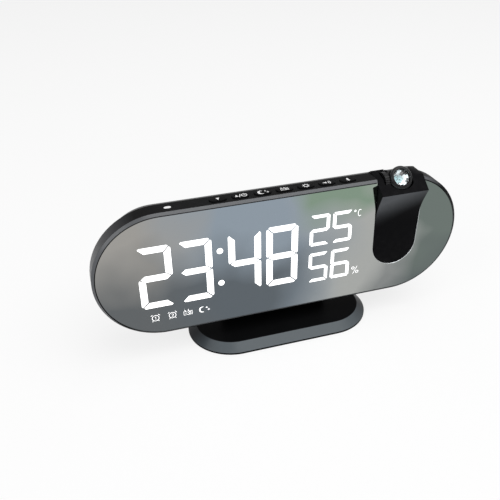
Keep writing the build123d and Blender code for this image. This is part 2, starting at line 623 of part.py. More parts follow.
def coin_cell():
    front = TRAY_BACK_Y - CELL_THICKNESS - 0.2
    body = rod_y(CELL_RADIUS, front + 0.4, front + CELL_THICKNESS, DOOR_X, CELL_Z)
    body += rod_y(CELL_RADIUS - 1.5, front, front + 0.4, DOOR_X, CELL_Z)
    return body


def cell_contact():
    """A leaf spring on the tray's floor that presses on the cell."""
    floor = TRAY_BACK_Y - CELL_THICKNESS - 1.4
    front = TRAY_BACK_Y - CELL_THICKNESS - 0.2
    leaf = block((DOOR_X - 5, floor, CELL_Z - 2), (DOOR_X + 5, floor + 0.3, CELL_Z + 2))
    leaf += block((DOOR_X - 1.2, floor, CELL_Z - 1.2), (DOOR_X + 1.2, front, CELL_Z + 1.2))
    return leaf


def power_jack():
    half = JACK_RADIUS + 1.3
    body = block((JACK_X - half, MAIN_BOARD_Y + BOARD_THICKNESS, SOCKET_Z - half),
                 (JACK_X + half, COVER_INNER_Y - 0.1, SOCKET_Z + half))
    body += rod_y(JACK_RADIUS, COVER_INNER_Y - 1, COVER_BACK_Y - 0.2, JACK_X, SOCKET_Z)
    body -= rod_y(JACK_RADIUS - 0.5, COVER_INNER_Y - JACK_DEPTH, COVER_BACK_Y + 1, JACK_X, SOCKET_Z)
    return body


def power_jack_pin():
    return rod_y(0.95, COVER_INNER_Y - JACK_DEPTH, COVER_BACK_Y - 1.2, JACK_X, SOCKET_Z)


def usb_socket():
    half_w, half_h = USB_WIDTH / 2, USB_HEIGHT / 2
    front = MAIN_BOARD_Y + BOARD_THICKNESS
    body = block((USB_X - half_w, front, SOCKET_Z - half_h),
                 (USB_X + half_w, COVER_BACK_Y - 0.3, SOCKET_Z + half_h))
    body -= block((USB_X - half_w + 0.35, front + 1.2, SOCKET_Z - half_h + 0.35),
                  (USB_X + half_w - 0.35, COVER_BACK_Y + 1, SOCKET_Z + half_h - 0.35))
    return body


def usb_tongue():
    half_h = USB_HEIGHT / 2
    front = MAIN_BOARD_Y + BOARD_THICKNESS + 1.2
    return block((USB_X - USB_TONGUE_WIDTH / 2, front, SOCKET_Z + half_h - 2.3),
                 (USB_X + USB_TONGUE_WIDTH / 2, COVER_BACK_Y - 1.3, SOCKET_Z + half_h - 0.6))


def cover_screws():
    return screw_set(SCREW_SPOTS, RIM_BACK_Y, LEDGE_BACK_Y + 0.6)


# ---------------------------------------------------------------- speaker
def speaker_basket():
    rim_front = COVER_INNER_Y - BASKET_RIM_THICKNESS
    rim = rod_y(SPEAKER_RADIUS, rim_front, COVER_INNER_Y, SPEAKER_X, FACE_Z)
    rim -= rod_y(SPEAKER_RADIUS - BASKET_RIM, rim_front - 1, COVER_INNER_Y + 1, SPEAKER_X, FACE_Z)
    bowl_radius = SPEAKER_RADIUS - BASKET_INSET
    bowl = rod_y(bowl_radius, SPEAKER_FRONT_Y, rim_front, SPEAKER_X, FACE_Z)
    bowl -= rod_y(bowl_radius - BASKET_WALL, SPEAKER_FRONT_Y + BASKET_WALL, COVER_INNER_Y, SPEAKER_X, FACE_Z)
    body = rim + bowl
    for i in range(4):
        angle = math.radians(45 + 90 * i)
        x = SPEAKER_X + BASKET_WINDOW_SPREAD * math.cos(angle)
        z = FACE_Z + BASKET_WINDOW_SPREAD * math.sin(angle)
        body -= rod_y(BASKET_WINDOW, SPEAKER_FRONT_Y - 1, SPEAKER_FRONT_Y + BASKET_WALL + 0.1, x, z)
    return body


def speaker_cone():
    back = COVER_INNER_Y - 1.4
    wide = SPEAKER_RADIUS - CONE_RIM
    middle = back - CONE_DEPTH / 2
    cone = Pos(SPEAKER_X, middle, FACE_Z) * Rot(-90, 0, 0) * Cone(CONE_THROAT, wide, CONE_DEPTH)
    hollow = Pos(SPEAKER_X, middle + CONE_PAPER, FACE_Z) * Rot(-90, 0, 0) * Cone(
        CONE_THROAT - 1.2 * CONE_PAPER, wide - 0.8 * CONE_PAPER, CONE_DEPTH)
    cap = Pos(SPEAKER_X, back - CAP_DROP, FACE_Z) * Sphere(CAP_RADIUS)
    cap &= rod_y(CAP_RADIUS, middle - 0.4 * CONE_DEPTH, back + CAP_RADIUS, SPEAKER_X, FACE_Z)
    return cone - hollow + cap


def speaker_magnet():
    back = SPEAKER_FRONT_Y
    front = back - MAGNET_THICKNESS
    body = rod_y(MAGNET_RADIUS, front, back, SPEAKER_X, FACE_Z)
    return body + rod_y(MAGNET_RADIUS - MAGNET_PLATE, front - MAGNET_PLATE, front, SPEAKER_X, FACE_Z)


# ---------------------------------------------------------------- boards
def main_board():
    body = block((MAIN_BOARD_X[0], MAIN_BOARD_Y, MAIN_BOARD_Z[0]),
                 (MAIN_BOARD_X[1], MAIN_BOARD_Y + BOARD_THICKNESS, MAIN_BOARD_Z[1]))
    for x, z in board_holes():
        body -= rod_y(POST_PIN_RADIUS + 0.1, MAIN_BOARD_Y - 1, MAIN_BOARD_Y + 3, x, z)
    return body


def board_holes():
    return [(x, z) for x in (MAIN_BOARD_X[0] + BOARD_HOLE_INSET, MAIN_BOARD_X[1] - BOARD_HOLE_INSET)
            for z in (MAIN_BOARD_Z[0] + BOARD_HOLE_INSET, MAIN_BOARD_Z[1] - BOARD_HOLE_INSET)]


def board_posts():
    """Posts that carry the main board from the display board's back."""
    posts = []
    start = DISPLAY_BOARD_Y + BOARD_THICKNESS
    for x, z in board_holes():
        back = MAIN_BOARD_Y + BOARD_THICKNESS
        post = rod_y(POST_RADIUS, start, MAIN_BOARD_Y, x, z)
        post += rod_y(POST_PIN_RADIUS, MAIN_BOARD_Y, back + 0.8, x, z)
        posts.append(post + rod_y(POST_CAP_RADIUS, back, back + POST_CAP_THICKNESS, x, z))
    return posts


def main_chips():
    back = MAIN_BOARD_Y + BOARD_THICKNESS
    left, low = MAIN_BOARD_X[0], MAIN_BOARD_Z[0]
    chips = [block((left + x - w / 2, back, low + z - h / 2), (left + x + w / 2, back + t, low + z + h / 2))
             for x, z, w, h, t in CHIPS]
    chips.append(rod_y(CAPACITOR_RADIUS, back, back + CAPACITOR_HEIGHT,
                       left + CAPACITOR_X, low + CAPACITOR_Z))
    return chips


def clock_crystal():
    x, z = MAIN_BOARD_X[0] + CRYSTAL_X, MAIN_BOARD_Z[0] + CRYSTAL_Z
    y = MAIN_BOARD_Y + BOARD_THICKNESS + CRYSTAL_RADIUS
    return Pos(x, y, z) * Cylinder(CRYSTAL_RADIUS, CRYSTAL_LENGTH)


def board_link():
    """The pin header between the display board and the main board."""
    start = DISPLAY_BOARD_Y + BOARD_THICKNESS
    left, low = MAIN_BOARD_X[0] + LINK_X, MAIN_BOARD_Z[0] + LINK_Z
    return block((left, start, low), (left + LINK_LENGTH, MAIN_BOARD_Y, low + LINK_HEIGHT))


def climate_sensor():
    back = MAIN_BOARD_Y + BOARD_THICKNESS
    left, low = MAIN_BOARD_X[0] + CLIMATE_X, MAIN_BOARD_Z[0] + CLIMATE_Z
    return block((left, back, low), (left + CLIMATE_SIZE, back + CLIMATE_HEIGHT, low + CLIMATE_SIZE))


# ---------------------------------------------------------------- top keys and light sensor
def key_cap(x):
    """One key: a capsule top, a retaining flange and a stem to its switch."""
    top = FACE_TOP_Z + BUTTON_PROUD
    flange_top = RIM_INNER_TOP_Z
    length, width = BUTTON_LENGTH - 2 * BUTTON_GAP, BUTTON_WIDTH - 2 * BUTTON_GAP
    cap = oval(length, width, flange_top - 0.2, top, x, BUTTON_Y)
    cap = fillet(cap.faces().sort_by(Axis.Z)[-1].edges(), 0.4)
    reach = BUTTON_LENGTH / 2 + BUTTON_FLANGE
    flange = block((x - reach, FLANGE_FRONT_Y - 3.7, flange_top - BUTTON_FLANGE_THICKNESS),
                   (x + reach, FLANGE_FRONT_Y - 0.3, flange_top - 0.02))
    stem_low = SWITCH_TOP_Z + 0.02
    stem = block((x - STEM_WIDTH / 2, FLANGE_FRONT_Y - 3.4, stem_low),
                 (x + STEM_WIDTH / 2, FLANGE_FRONT_Y - 1.8, flange_top - 0.4))
    return cap + flange + stem


def key_switches():
    switches = []
    w, d, h = SWITCH_SIZE
    for x in BUTTON_XS:
        switches.append(block((x - w / 2, SWITCH_Y - d / 2, SWITCH_BODY_TOP_Z - h),
                              (x + w / 2, SWITCH_Y + d / 2, SWITCH_BODY_TOP_Z)))
    return switches


def key_plungers():
    top = SWITCH_TOP_Z - BUTTON_TRAVEL - RUNNING_GAP
    return [rod_z(SWITCH_PLUNGER_RADIUS, SWITCH_BODY_TOP_Z, top, x, SWITCH_Y) for x in BUTTON_XS]


def key_board():
    y = SWITCH_Y + SWITCH_SIZE[1] / 2
    return block((KEY_BOARD_X[0], y, KEY_BOARD_LOW_Z), (KEY_BOARD_X[1], y + 1.0, SWITCH_BODY_TOP_Z))


def sensor_window():
    low = RIM_INNER_TOP_Z - 0.6
    body = oval(SENSOR_LENGTH - 0.1, SENSOR_WIDTH - 0.1, low, FACE_TOP_Z, SENSOR_X, BUTTON_Y)
    return body + oval(SENSOR_LENGTH + 1.2, SENSOR_WIDTH + 0.6, low, RIM_INNER_TOP_Z, SENSOR_X, BUTTON_Y)


def light_sensor():
    low = RIM_INNER_TOP_Z - 3.2
    body = rod_z(1.2, low, RIM_INNER_TOP_Z - 0.7, SENSOR_X, BUTTON_Y)
    return body + block((SENSOR_X - 3, BUTTON_Y - 1.6, low - 0.8), (SENSOR_X + 3, BUTTON_Y + 1.6, low))


# ---------------------------------------------------------------- stand and base
def stand_neck():
    column = oval(NECK_LENGTH, NECK_DEPTH, BASE_TOP_Z, COVER_BOTTOM_Z, 0, NECK_Y)
    body = column + loft_foot()
    body -= oval(NECK_LENGTH - 2 * NECK_WALL, NECK_DEPTH - 2 * NECK_WALL, BASE_TOP_Z - 1,
                 COVER_BOTTOM_Z - NECK_WALL, 0, NECK_Y)
    for x in (-NECK_SCREW_X, NECK_SCREW_X):
        body += rod_z(NECK_BOSS_RADIUS, BASE_TOP_Z, COVER_BOTTOM_Z, x, NECK_Y)
        body -= rod_z(SCREW_RADIUS, BASE_TOP_Z - 1, BASE_TOP_Z + SCREW_BITE, x, NECK_Y)
        body -= rod_z(SCREW_RADIUS, COVER_BOTTOM_Z - SCREW_BITE, COVER_BOTTOM_Z + 1, x, NECK_Y)
    return body


def loft_foot():
    """The neck's flare where it meets the base."""
    outline = SlotOverall(NECK_LENGTH + 2 * NECK_FLARE, NECK_DEPTH + 2 * NECK_FLARE)
    wide = Plane(origin=(0, NECK_Y, BASE_TOP_Z)) * outline
    slim = Plane(origin=(0, NECK_Y, BASE_TOP_Z + NECK_FLARE)) * SlotOverall(NECK_LENGTH, NECK_DEPTH)
    return loft([wide, slim])


def base_cover():
    wall = oval(BASE_LENGTH, BASE_DEPTH, BASE_SKIRT_Z, BASE_EDGE_Z)
    inset = 2 * BASE_SLOPE_INSET
    wide = Plane(origin=(0, 0, BASE_EDGE_Z)) * SlotOverall(BASE_LENGTH, BASE_DEPTH)
    slim = Plane(origin=(0, 0, BASE_TOP_Z)) * SlotOverall(BASE_LENGTH - inset, BASE_DEPTH - inset)
    body = wall + loft([wide, slim])
    # hollow from below: a straight well for the plate and a smaller one for the weight
    body -= oval(BASE_LENGTH - 2 * PLATE_INSET + 2 * PLATE_GAP, BASE_DEPTH - 2 * PLATE_INSET + 2 * PLATE_GAP,
                 0, FOOT_HEIGHT + PLATE_THICKNESS)
    body -= oval(BASE_LENGTH - inset - 1, BASE_DEPTH - inset - 1, 0, BASE_TOP_Z - BASE_SKIN)
    for x in (-NECK_SCREW_X, NECK_SCREW_X):
        body -= rod_z(SCREW_RADIUS + 0.1, 0, BASE_TOP_Z + 1, x, NECK_Y)
    return body


def base_plate():
    body = oval(BASE_LENGTH - 2 * PLATE_INSET, BASE_DEPTH - 2 * PLATE_INSET,
                FOOT_HEIGHT, FOOT_HEIGHT + PLATE_THICKNESS)
    for x, y in foot_spots():
        body -= rod_z(FOOT_RADIUS + 0.1, 0, FOOT_HEIGHT + FOOT_SINK, x, y)
    for x in (-NECK_SCREW_X, NECK_SCREW_X):
        body -= rod_z(SCREW_RADIUS + 0.1, 0, 5, x, NECK_Y)
        body -= rod_z(SCREW_HEAD_RADIUS + 0.1, 0, FOOT_HEIGHT + 0.6, x, NECK_Y)
    return body


def base_weight():
    low, high = FOOT_HEIGHT + PLATE_THICKNESS, BASE_TOP_Z - BASE_SKIN
    body = oval(BASE_LENGTH - 2 * BASE_SLOPE_INSET - 2, BASE_DEPTH - 2 * BASE_SLOPE_INSET - 2, low, high)
    for x in (-NECK_SCREW_X, NECK_SCREW_X):
        body -= rod_z(SCREW_RADIUS + 0.5, 0, 6, x, NECK_Y)
    return body


def foot_spots():
    return [(x, y) for x in (-FOOT_X, FOOT_X) for y in (-FOOT_Y, FOOT_Y)]


def base_foot(x, y):
    body = rod_z(FOOT_RADIUS, 0, FOOT_HEIGHT + FOOT_SINK, x, y)
    return chamfer(body.edges().sort_by(Axis.Z)[0], 0.25)


def stand_screws():
    """Two screws up through the base into the neck."""
    screws = []
    for x in (-NECK_SCREW_X, NECK_SCREW_X):
        head = rod_z(SCREW_HEAD_RADIUS, FOOT_HEIGHT - 0.3, FOOT_HEIGHT + 0.6, x, NECK_Y)
        shank = rod_z(SCREW_RADIUS, FOOT_HEIGHT + 0.6, BASE_TOP_Z + SCREW_BITE - 0.5, x, NECK_Y)
        slot = block((x - 1.5, NECK_Y - 0.25, FOOT_HEIGHT - 1), (x + 1.5, NECK_Y + 0.25, FOOT_HEIGHT + 0.1))
        screws.append(head + shank - slot)
    return screws


def neck_screws():
    """Two screws down through the rear cover's floor into the neck."""
    floor = COVER_BOTTOM_Z + COVER_WALL
    screws = []
    for x in (-NECK_SCREW_X, NECK_SCREW_X):
        shank = rod_z(SCREW_RADIUS, COVER_BOTTOM_Z - SCREW_BITE + 0.5, floor, x, NECK_Y)
        screws.append(shank + rod_z(SCREW_HEAD_RADIUS, floor, floor + SCREW_HEAD_HEIGHT, x, NECK_Y))
    return screws


# ---------------------------------------------------------------- export
PARTS = {
    "front_frame": front_frame,
    "mirror_panel": mirror_panel,
    "diffuser_film": diffuser_film,
    "segment_reflector": segment_reflector,
    "segment_light_guides": segment_light_guides,
    "display_board": display_board,
    "display_leds": display_leds,
    "projector_block": projector_block,
    "lens_pod": lens_pod,
    "focus_ring": focus_ring,
    "projection_lens": projection_lens,
    "time_slide": time_slide,
    "projection_lamp": projection_lamp,
    "rear_cover": rear_cover,
    "battery_door": battery_door,
    "coin_cell": coin_cell,
    "cell_contact": cell_contact,
    "power_jack": power_jack,
    "power_jack_pin": power_jack_pin,
    "usb_socket": usb_socket,
    "usb_tongue": usb_tongue,
    "cover_screws": cover_screws,
    "speaker_basket": speaker_basket,
    "speaker_cone": speaker_cone,
    "speaker_magnet": speaker_magnet,
    "main_board": main_board,
    "board_posts": board_posts,
    "main_chips": main_chips,
    "clock_crystal": clock_crystal,
    "board_link": board_link,
    "climate_sensor": climate_sensor,
    "key_board": key_board,
    "key_switches": key_switches,
    "key_plungers": key_plungers,
    "sensor_window": sensor_window,
    "light_sensor": light_sensor,
    "stand_neck": stand_neck,
    "base_cover": base_cover,
    "base_plate": base_plate,
    "base_weight": base_weight,
    "stand_screws": stand_screws,
    "neck_screws": neck_screws,
}
KEY_NAMES = ("down_key", "up_key", "snooze_key", "projector_key", "set_key", "volume_key", "alarm_key")
FOOT_NAMES = ("foot_front_left", "foot_rear_left", "foot_front_right", "foot_rear_right")


def write(name, made):
    """One STEP file for a node; a list becomes a group of separate solids."""
    solids = [s for item in made for s in item.solids()] if isinstance(made, list) else made.solids()
    shape = solids[0] if len(solids) == 1 else Compound(children=list(solids))
    export_step(shape, f"parts/{name}.step")


os.makedirs("parts", exist_ok=True)
for part_name, maker in PARTS.items():
    write(part_name, maker())
for key_name, key_x in zip(KEY_NAMES, BUTTON_XS):
    write(key_name, key_cap(key_x))
for foot_name, (foot_x, foot_y) in zip(FOOT_NAMES, foot_spots()):
    write(foot_name, base_foot(foot_x, foot_y))
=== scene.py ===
"""Looks of a mirror-faced projection alarm clock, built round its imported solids: metres, +Z up, front -Y."""

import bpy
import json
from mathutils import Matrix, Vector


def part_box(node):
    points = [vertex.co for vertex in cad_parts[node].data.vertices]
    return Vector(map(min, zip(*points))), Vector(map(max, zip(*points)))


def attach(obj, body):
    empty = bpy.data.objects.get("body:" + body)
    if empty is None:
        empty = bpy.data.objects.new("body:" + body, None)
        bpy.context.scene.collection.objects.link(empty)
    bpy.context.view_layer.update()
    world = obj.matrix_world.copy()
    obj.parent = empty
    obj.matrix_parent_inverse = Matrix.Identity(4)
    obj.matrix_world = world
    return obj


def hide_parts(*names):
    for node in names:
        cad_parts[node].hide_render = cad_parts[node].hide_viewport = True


bl_info = {
    "name": "Projection Alarm Clock",
    "version": (1, 0, 0),
    "blender": (4, 5, 0),
    "location": "3D View > Sidebar > Clock",
    "description": "Dresses the packed clock: mirror face, lit signs, projector, keys, rear cover and stand",
    "category": "Object",
}

import json
import math

import bmesh
import bpy
from bpy.props import FloatProperty, FloatVectorProperty, IntProperty, PointerProperty
from mathutils import Matrix, Vector

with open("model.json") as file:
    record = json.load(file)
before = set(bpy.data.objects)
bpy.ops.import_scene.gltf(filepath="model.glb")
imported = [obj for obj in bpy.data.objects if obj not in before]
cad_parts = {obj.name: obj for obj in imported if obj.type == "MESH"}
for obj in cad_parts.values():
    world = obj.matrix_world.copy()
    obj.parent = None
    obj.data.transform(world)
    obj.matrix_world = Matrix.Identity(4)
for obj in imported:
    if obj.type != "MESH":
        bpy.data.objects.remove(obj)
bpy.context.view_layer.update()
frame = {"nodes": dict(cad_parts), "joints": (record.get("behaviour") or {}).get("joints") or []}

MM = 0.001
FLOAT = "NodeSocketFloat"
POD_BODY = "projector_pod"
RING_BODY = "focus_ring"
QUARTER = [math.radians(9 * i) for i in range(11)]    # a quarter turn in ten steps


def joint_named(name):
    return next(joint for joint in frame["joints"] if joint["name"] == name)


TILT_POINT = Vector(joint_named("projector_tilt")["pos_m"])
AIM = Vector(joint_named("focus_turn")["axis"])
AIMED = Matrix.Translation(TILT_POINT) @ AIM.to_track_quat("Z", "X").to_matrix().to_4x4()
MIRROR_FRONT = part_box("mirror_panel")[0].y


# ------ settings
def in_mm(name, description, millimetres):
    return FloatProperty(name=name, description=description, default=millimetres * MM, unit="LENGTH")


def rgb(name, description, default):
    return FloatVectorProperty(name=name, description=description, default=default, subtype="COLOR")


class ClockSizes(bpy.types.PropertyGroup):
    """Sizes a user would change."""

    digit_width: in_mm("Digit width", "Width of a large digit", 17.9)
    digit_height: in_mm("Digit height", "Height of a large digit", 37.4)
    digit_bar: in_mm("Digit bar", "Width of a large digit's bars", 3.6)
    small_width: in_mm("Small digit width", "Width of a small digit", 11.4)
    small_height: in_mm("Small digit height", "Height of a small digit", 19.0)
    small_bar: in_mm("Small digit bar", "Width of a small digit's bars", 1.9)
    sign_relief: in_mm("Sign relief", "How far the lit signs stand off the mirror", 0.03)
    case_round: in_mm("Case rounding", "Rounding of the case's edges", 0.16)
    mirror_arris: in_mm("Mirror arris", "Ground edge round the mirror panel", 0.26)
    fine_round: in_mm("Fine rounding", "Rounding of small pieces' edges", 0.08)
    sign_stroke: in_mm("Sign stroke", "Half the stroke width of the small signs", 0.135)
    ring_ribs: IntProperty(name="Focus ribs", description="Ribs round the focus ring", default=32, min=8)


class ClockColours(bpy.types.PropertyGroup):
    """Colours a user would change."""

    case: rgb("Case", "Plastic of the rim and keys", (0.0030, 0.0030, 0.0034))
    block: rgb("Projector", "Plastic of the projector", (0.0028, 0.0028, 0.0034))
    base: rgb("Base", "Plastic of the base", (0.0030, 0.0032, 0.0036))
    cover: rgb("Rear cover", "Plastic of the rear cover", (0.016, 0.016, 0.017))
    signs: rgb("Signs", "Light of the digits and signs", (1.0, 1.0, 1.0))
    lamp: rgb("Lamp", "Light of the projection lamp", (0.55, 0.02, 0.02))


def sizes():
    return bpy.context.scene.clock_sizes


def colours():
    return bpy.context.scene.clock_colours


# ------ node helpers
def add(tree, kind, inputs=None, **settings):
    """One node in a tree; an input is a value or the socket that feeds it."""
    made = tree.nodes.new(kind)
    for key, value in settings.items():
        setattr(made, key, value)
    for key, value in (inputs or {}).items():
        if isinstance(value, bpy.types.NodeSocket):
            tree.links.new(value, made.inputs[key])
        else:
            made.inputs[key].default_value = value
    return made


def first_of(tree, kind, inputs=None, **settings):
    """The first output of a new node."""
    return add(tree, kind, inputs, **settings).outputs[0]


def maths(tree, operation, first, second=0.5, third=0.5):
    return first_of(tree, "ShaderNodeMath", {0: first, 1: second, 2: third}, operation=operation)


def times(tree, first, second):
    return maths(tree, "MULTIPLY", first, second)


def fitted(tree, value, factor, offset):
    return maths(tree, "MULTIPLY_ADD", value, factor, offset)


def blend(tree, share, low, high):
    """A colour between low and high."""
    low, high = [end if isinstance(end, bpy.types.NodeSocket) else (*end, 1.0) for end in (low, high)]
    return add(tree, "ShaderNodeMix", {0: share, 6: low, 7: high}, data_type="RGBA").outputs[2]


def own_place(tree):
    """The object's own coordinates at the shaded point."""
    return add(tree, "ShaderNodeTexCoord").outputs["Object"]


def along(tree, axis):
    """The object's own X, Y or Z at the shaded point."""
    return add(tree, "ShaderNodeSeparateXYZ", {0: own_place(tree)}).outputs[axis]


def facing(tree, axis):
    """How far the surface faces along X, Y or Z."""
    normal = add(tree, "ShaderNodeNewGeometry").outputs["Normal"]
    return add(tree, "ShaderNodeSeparateXYZ", {0: normal}).outputs[axis]


def ramp(tree, value, none, full, least=0.0):
    """The least share where the value is none, 1 where it is full."""
    inputs = {"Value": value, "From Min": none, "From Max": full, "To Min": least}
    return first_of(tree, "ShaderNodeMapRange", inputs)


def noise(tree, place, scale, detail, output="Fac", **more):
    """A noise pattern; more holds its other inputs."""
    inputs = {"Vector": place, "Scale": scale, "Detail": detail, **more}
    return add(tree, "ShaderNodeTexNoise", inputs).outputs[output]


def new_group(name, kind, inputs, outputs):
    """An empty node group with named sockets: (tree, the sockets given to it, its output node)."""
    tree = bpy.data.node_groups.new(name, kind)
    for label, socket, default in inputs:
        made = tree.interface.new_socket(label, in_out="INPUT", socket_type=socket)
        if default is not None:
            made.default_value = default
    for label, socket in outputs:
        tree.interface.new_socket(label, in_out="OUTPUT", socket_type=socket)
    return tree, tree.nodes.new("NodeGroupInput").outputs, tree.nodes.new("NodeGroupOutput")


def close_group(tree, end, **outputs):
    for label, socket in outputs.items():
        tree.links.new(socket, end.inputs[label])
    return tree


def group_of(name, build):
    return bpy.data.node_groups.get(name) or build(name)


# ------ shader groups
def build_grain(name):
    """Moulded plastic grain: a fine height, a mask that drifts slowly and one that is fine."""
    outputs = [(label, FLOAT) for label in ("Height", "Drift", "Fine")]
    tree, given, end = new_group(name, "ShaderNodeTree", [("Scale", FLOAT, 4000.0)], outputs)
    place, scale = own_place(tree), given["Scale"]
    fine = noise(tree, place, scale, 3.0, Roughness=0.6)
    pits = add(tree, "ShaderNodeTexVoronoi", {"Vector": place, "Scale": scale}, feature="SMOOTH_F1")
    height = maths(tree, "ADD", fine, times(tree, pits.outputs["Distance"], 0.5))
    drift = noise(tree, place, 45.0, 4.0, Roughness=0.55)
    return close_group(tree, end, Height=height, Drift=drift, Fine=fine)


def new_mask(name, amount):
    """An empty group that will put out one mask."""
    return new_group(name, "ShaderNodeTree", [("Amount", FLOAT, amount)], [("Mask", FLOAT)])


def close_mask(tree, given, end, mask):
    return close_group(tree, end, Mask=times(tree, mask, given["Amount"]))


def build_wear(name):
    """Rubbed edges: the piece's own edge attribute broken up by noise."""
    tree, given, end = new_mask(name, 0.3)
    edge = add(tree, "ShaderNodeAttribute", attribute_name="edge").outputs["Fac"]
    rubbed = ramp(tree, noise(tree, own_place(tree), 320.0, 5.0), 0.42, 0.72)
    return close_mask(tree, given, end, times(tree, edge, rubbed))


def build_dust(name):
    """Dust that settles on what faces up, in loose specks and a thin film."""
    tree, given, end = new_mask(name, 0.05)
    upward = ramp(tree, facing(tree, "Z"), 0.3, 1.0)
    film = ramp(tree, noise(tree, own_place(tree), 1800.0, 2.0), 0.45, 0.8, 0.15)
    return close_mask(tree, given, end, times(tree, upward, film))


def build_smears(name):
    """Faint wiping marks and fingertip smears on a polished face."""
    tree, given, end = new_mask(name, 0.04)
    inputs = {"Vector": own_place(tree), "Rotation": (0.0, 0.6, 0.0), "Scale": (18.0, 40.0, 90.0)}
    wiped = noise(tree, first_of(tree, "ShaderNodeMapping", inputs), 1.0, 5.0, Distortion=0.6)
    return close_mask(tree, given, end, ramp(tree, wiped, 0.45, 0.75))


def grain(tree, scale):
    return add(tree, "ShaderNodeGroup", {"Scale": scale},
               node_tree=group_of("Moulded grain", build_grain)).outputs


def mask_of(tree, name, build, amount):
    return add(tree, "ShaderNodeGroup", {"Amount": amount}, node_tree=group_of(name, build)).outputs["Mask"]


# ------ materials
def new_material(name):
    material = bpy.data.materials.new(name)
    material.use_nodes = True
    tree = material.node_tree
    return material, tree, tree.nodes["Principled BSDF"]


def feed(tree, shader, **inputs):
    """Set or link inputs of a shader; an underscore stands for a space."""
    for key, value in inputs.items():
        socket = shader.inputs[key.replace("_", " ")]
        if isinstance(value, bpy.types.NodeSocket):
            tree.links.new(value, socket)
        else:
            socket.default_value = (*value, 1.0) if hasattr(value, "__len__") and len(value) == 3 else value


def bumped(tree, height, depth):
    return first_of(tree, "ShaderNodeBump", {"Height": height, "Distance": depth})


def paint_sheen_and_coat(material, mask, colour, coat):
    """Paint a sheen into a zone of a plastic as a paler tone, and give the zone a glossy coat."""
    tree = material.node_tree
    bsdf = tree.nodes["Principled BSDF"]
    tone = bsdf.inputs["Base Color"].links[0].from_socket
    skin = times(tree, mask, coat)
    if bsdf.inputs["Coat Weight"].is_linked:
        skin = maths(tree, "MAXIMUM", skin, bsdf.inputs["Coat Weight"].links[0].from_socket)
    feed(tree, bsdf, Base_Color=blend(tree, mask, tone, colour), Coat_Weight=skin)


def tinted(colour, share, lift=0.0):
    """A colour made paler or deeper."""
    return [min(1.0, part * share + lift) for part in colour]


def plastic(name, colour, roughness, fine=4000.0, depth=0.004 * MM, wear=0.25, dust=0.04, spread=0.06,
            **shader):
    """Moulded plastic with grain, rubbed edges and a little dust."""
    material, tree, bsdf = new_material(name)
    made = grain(tree, fine)
    rubbed = mask_of(tree, "Edge wear", build_wear, wear)
    dusty = mask_of(tree, "Settled dust", build_dust, dust)
    tone = blend(tree, made["Drift"], tinted(colour, 1 - 4 * spread), tinted(colour, 1 + 5 * spread, 0.002))
    tone = blend(tree, rubbed, tone, tinted(colour, 1.5, 0.10))
    tone = blend(tree, dusty, tone, DUST_TINT)
    rough = fitted(tree, made["Drift"], spread * 2, roughness - spread)
    rough = maths(tree, "ADD", rough, times(tree, dusty, 0.6))
    feed(tree, bsdf, Base_Color=tone, Roughness=rough, Normal=bumped(tree, made["Height"], depth), **shader)
    return material


def metal(name, colour, roughness, brushed=0.0):
    """Plain or brushed metal."""
    material, tree, bsdf = new_material(name)
    inputs = {"Vector": own_place(tree), "Scale": (1.0, 1.0, 1.0 + 30.0 * brushed)}
    lines = noise(tree, first_of(tree, "ShaderNodeMapping", inputs), 900.0, 4.0)
    tone = blend(tree, grain(tree, 900.0)["Drift"], tinted(colour, 0.8), tinted(colour, 1.15))
    rough = fitted(tree, lines, 0.25, roughness - 0.1)
    feed(tree, bsdf, Base_Color=tone, Metallic=1.0, Roughness=rough, Normal=bumped(tree, lines, 0.003 * MM))
    return material


MATT = {"Specular_IOR_Level": 0.02}
SATIN = {"Specular_IOR_Level": 0.2}
DUST_TINT = (0.36, 0.35, 0.33)
LENS_TINT = (0.94, 0.99, 1.0)
SLOPE_TOP = 1.3 * MM                     # how far behind the mirror's front the rim's slope ends
# the chin's painted sheen: how far it leans and the heights over which it fades in
CHIN_SHEEN_LEAN = -0.45                        # how far the chin's sheen leans as it rises
CHIN_SHEEN_FADE = (35.5 * MM, 52.0 * MM)
BASE_WALL = 1.15 * MM                    # upright wall under the base's band
# the painted reflection on the mirror from its left: its first tint, then (none at, full at, tint) in mm
# across
REFLECTED_WARM_TINT = (0.34, 0.33, 0.31)
REFLECTION_ZONES = ((-72, -40, (0.27, 0.32, 0.37)), (0, 42, (0.39, 0.40, 0.385)), (66, 80, (0.150, 0.180, 0.165)))
REFLECTED_DARK_TINT = (0.085, 0.098, 0.108)
REFLECTED_LEAF_TINT = (0.22, 0.30, 0.23)
NOTCH_EDGE_HIGHLIGHT = (0.80, 0.84, 0.85)
OUTER_EDGE = (0.030, 0.033, 0.036)
# painted dark reflections low down and at the outer end
DARK_REFLECTIONS = ((42, 72, 34, -14, 0.85), (26, 44, 48, 62, 0.5))    # full below, none above, none at, full at, share


def rim_finish():
    """The rim: black, with a painted sheen where the band turns down on the left and a painted highlight on
    the slope round the mirror.
    """
    material = plastic("Rim plastic", colours().case, 0.42, wear=0.02, dust=0.002, Coat_Roughness=0.22,
                       **MATT)
    tree = material.node_tree
    # painted sheen: the rim is paler where it faces left
    paint_sheen_and_coat(material, ramp(tree, facing(tree, "X"), -0.30, -0.85), (0.022, 0.0235, 0.027), 0.4)
    top = MIRROR_FRONT + SLOPE_TOP
    # painted highlight: the slope round the mirror is paler where it faces up and left
    slope = ramp(tree, along(tree, "Y"), top + 0.05 * MM, top - 0.05 * MM)
    upper = fitted(tree, facing(tree, "X"), -1.1, facing(tree, "Z"))
    paint_sheen_and_coat(material, times(tree, slope, ramp(tree, upper, 0.0, 0.35)), (0.085, 0.089, 0.096), 0.6)
    return material


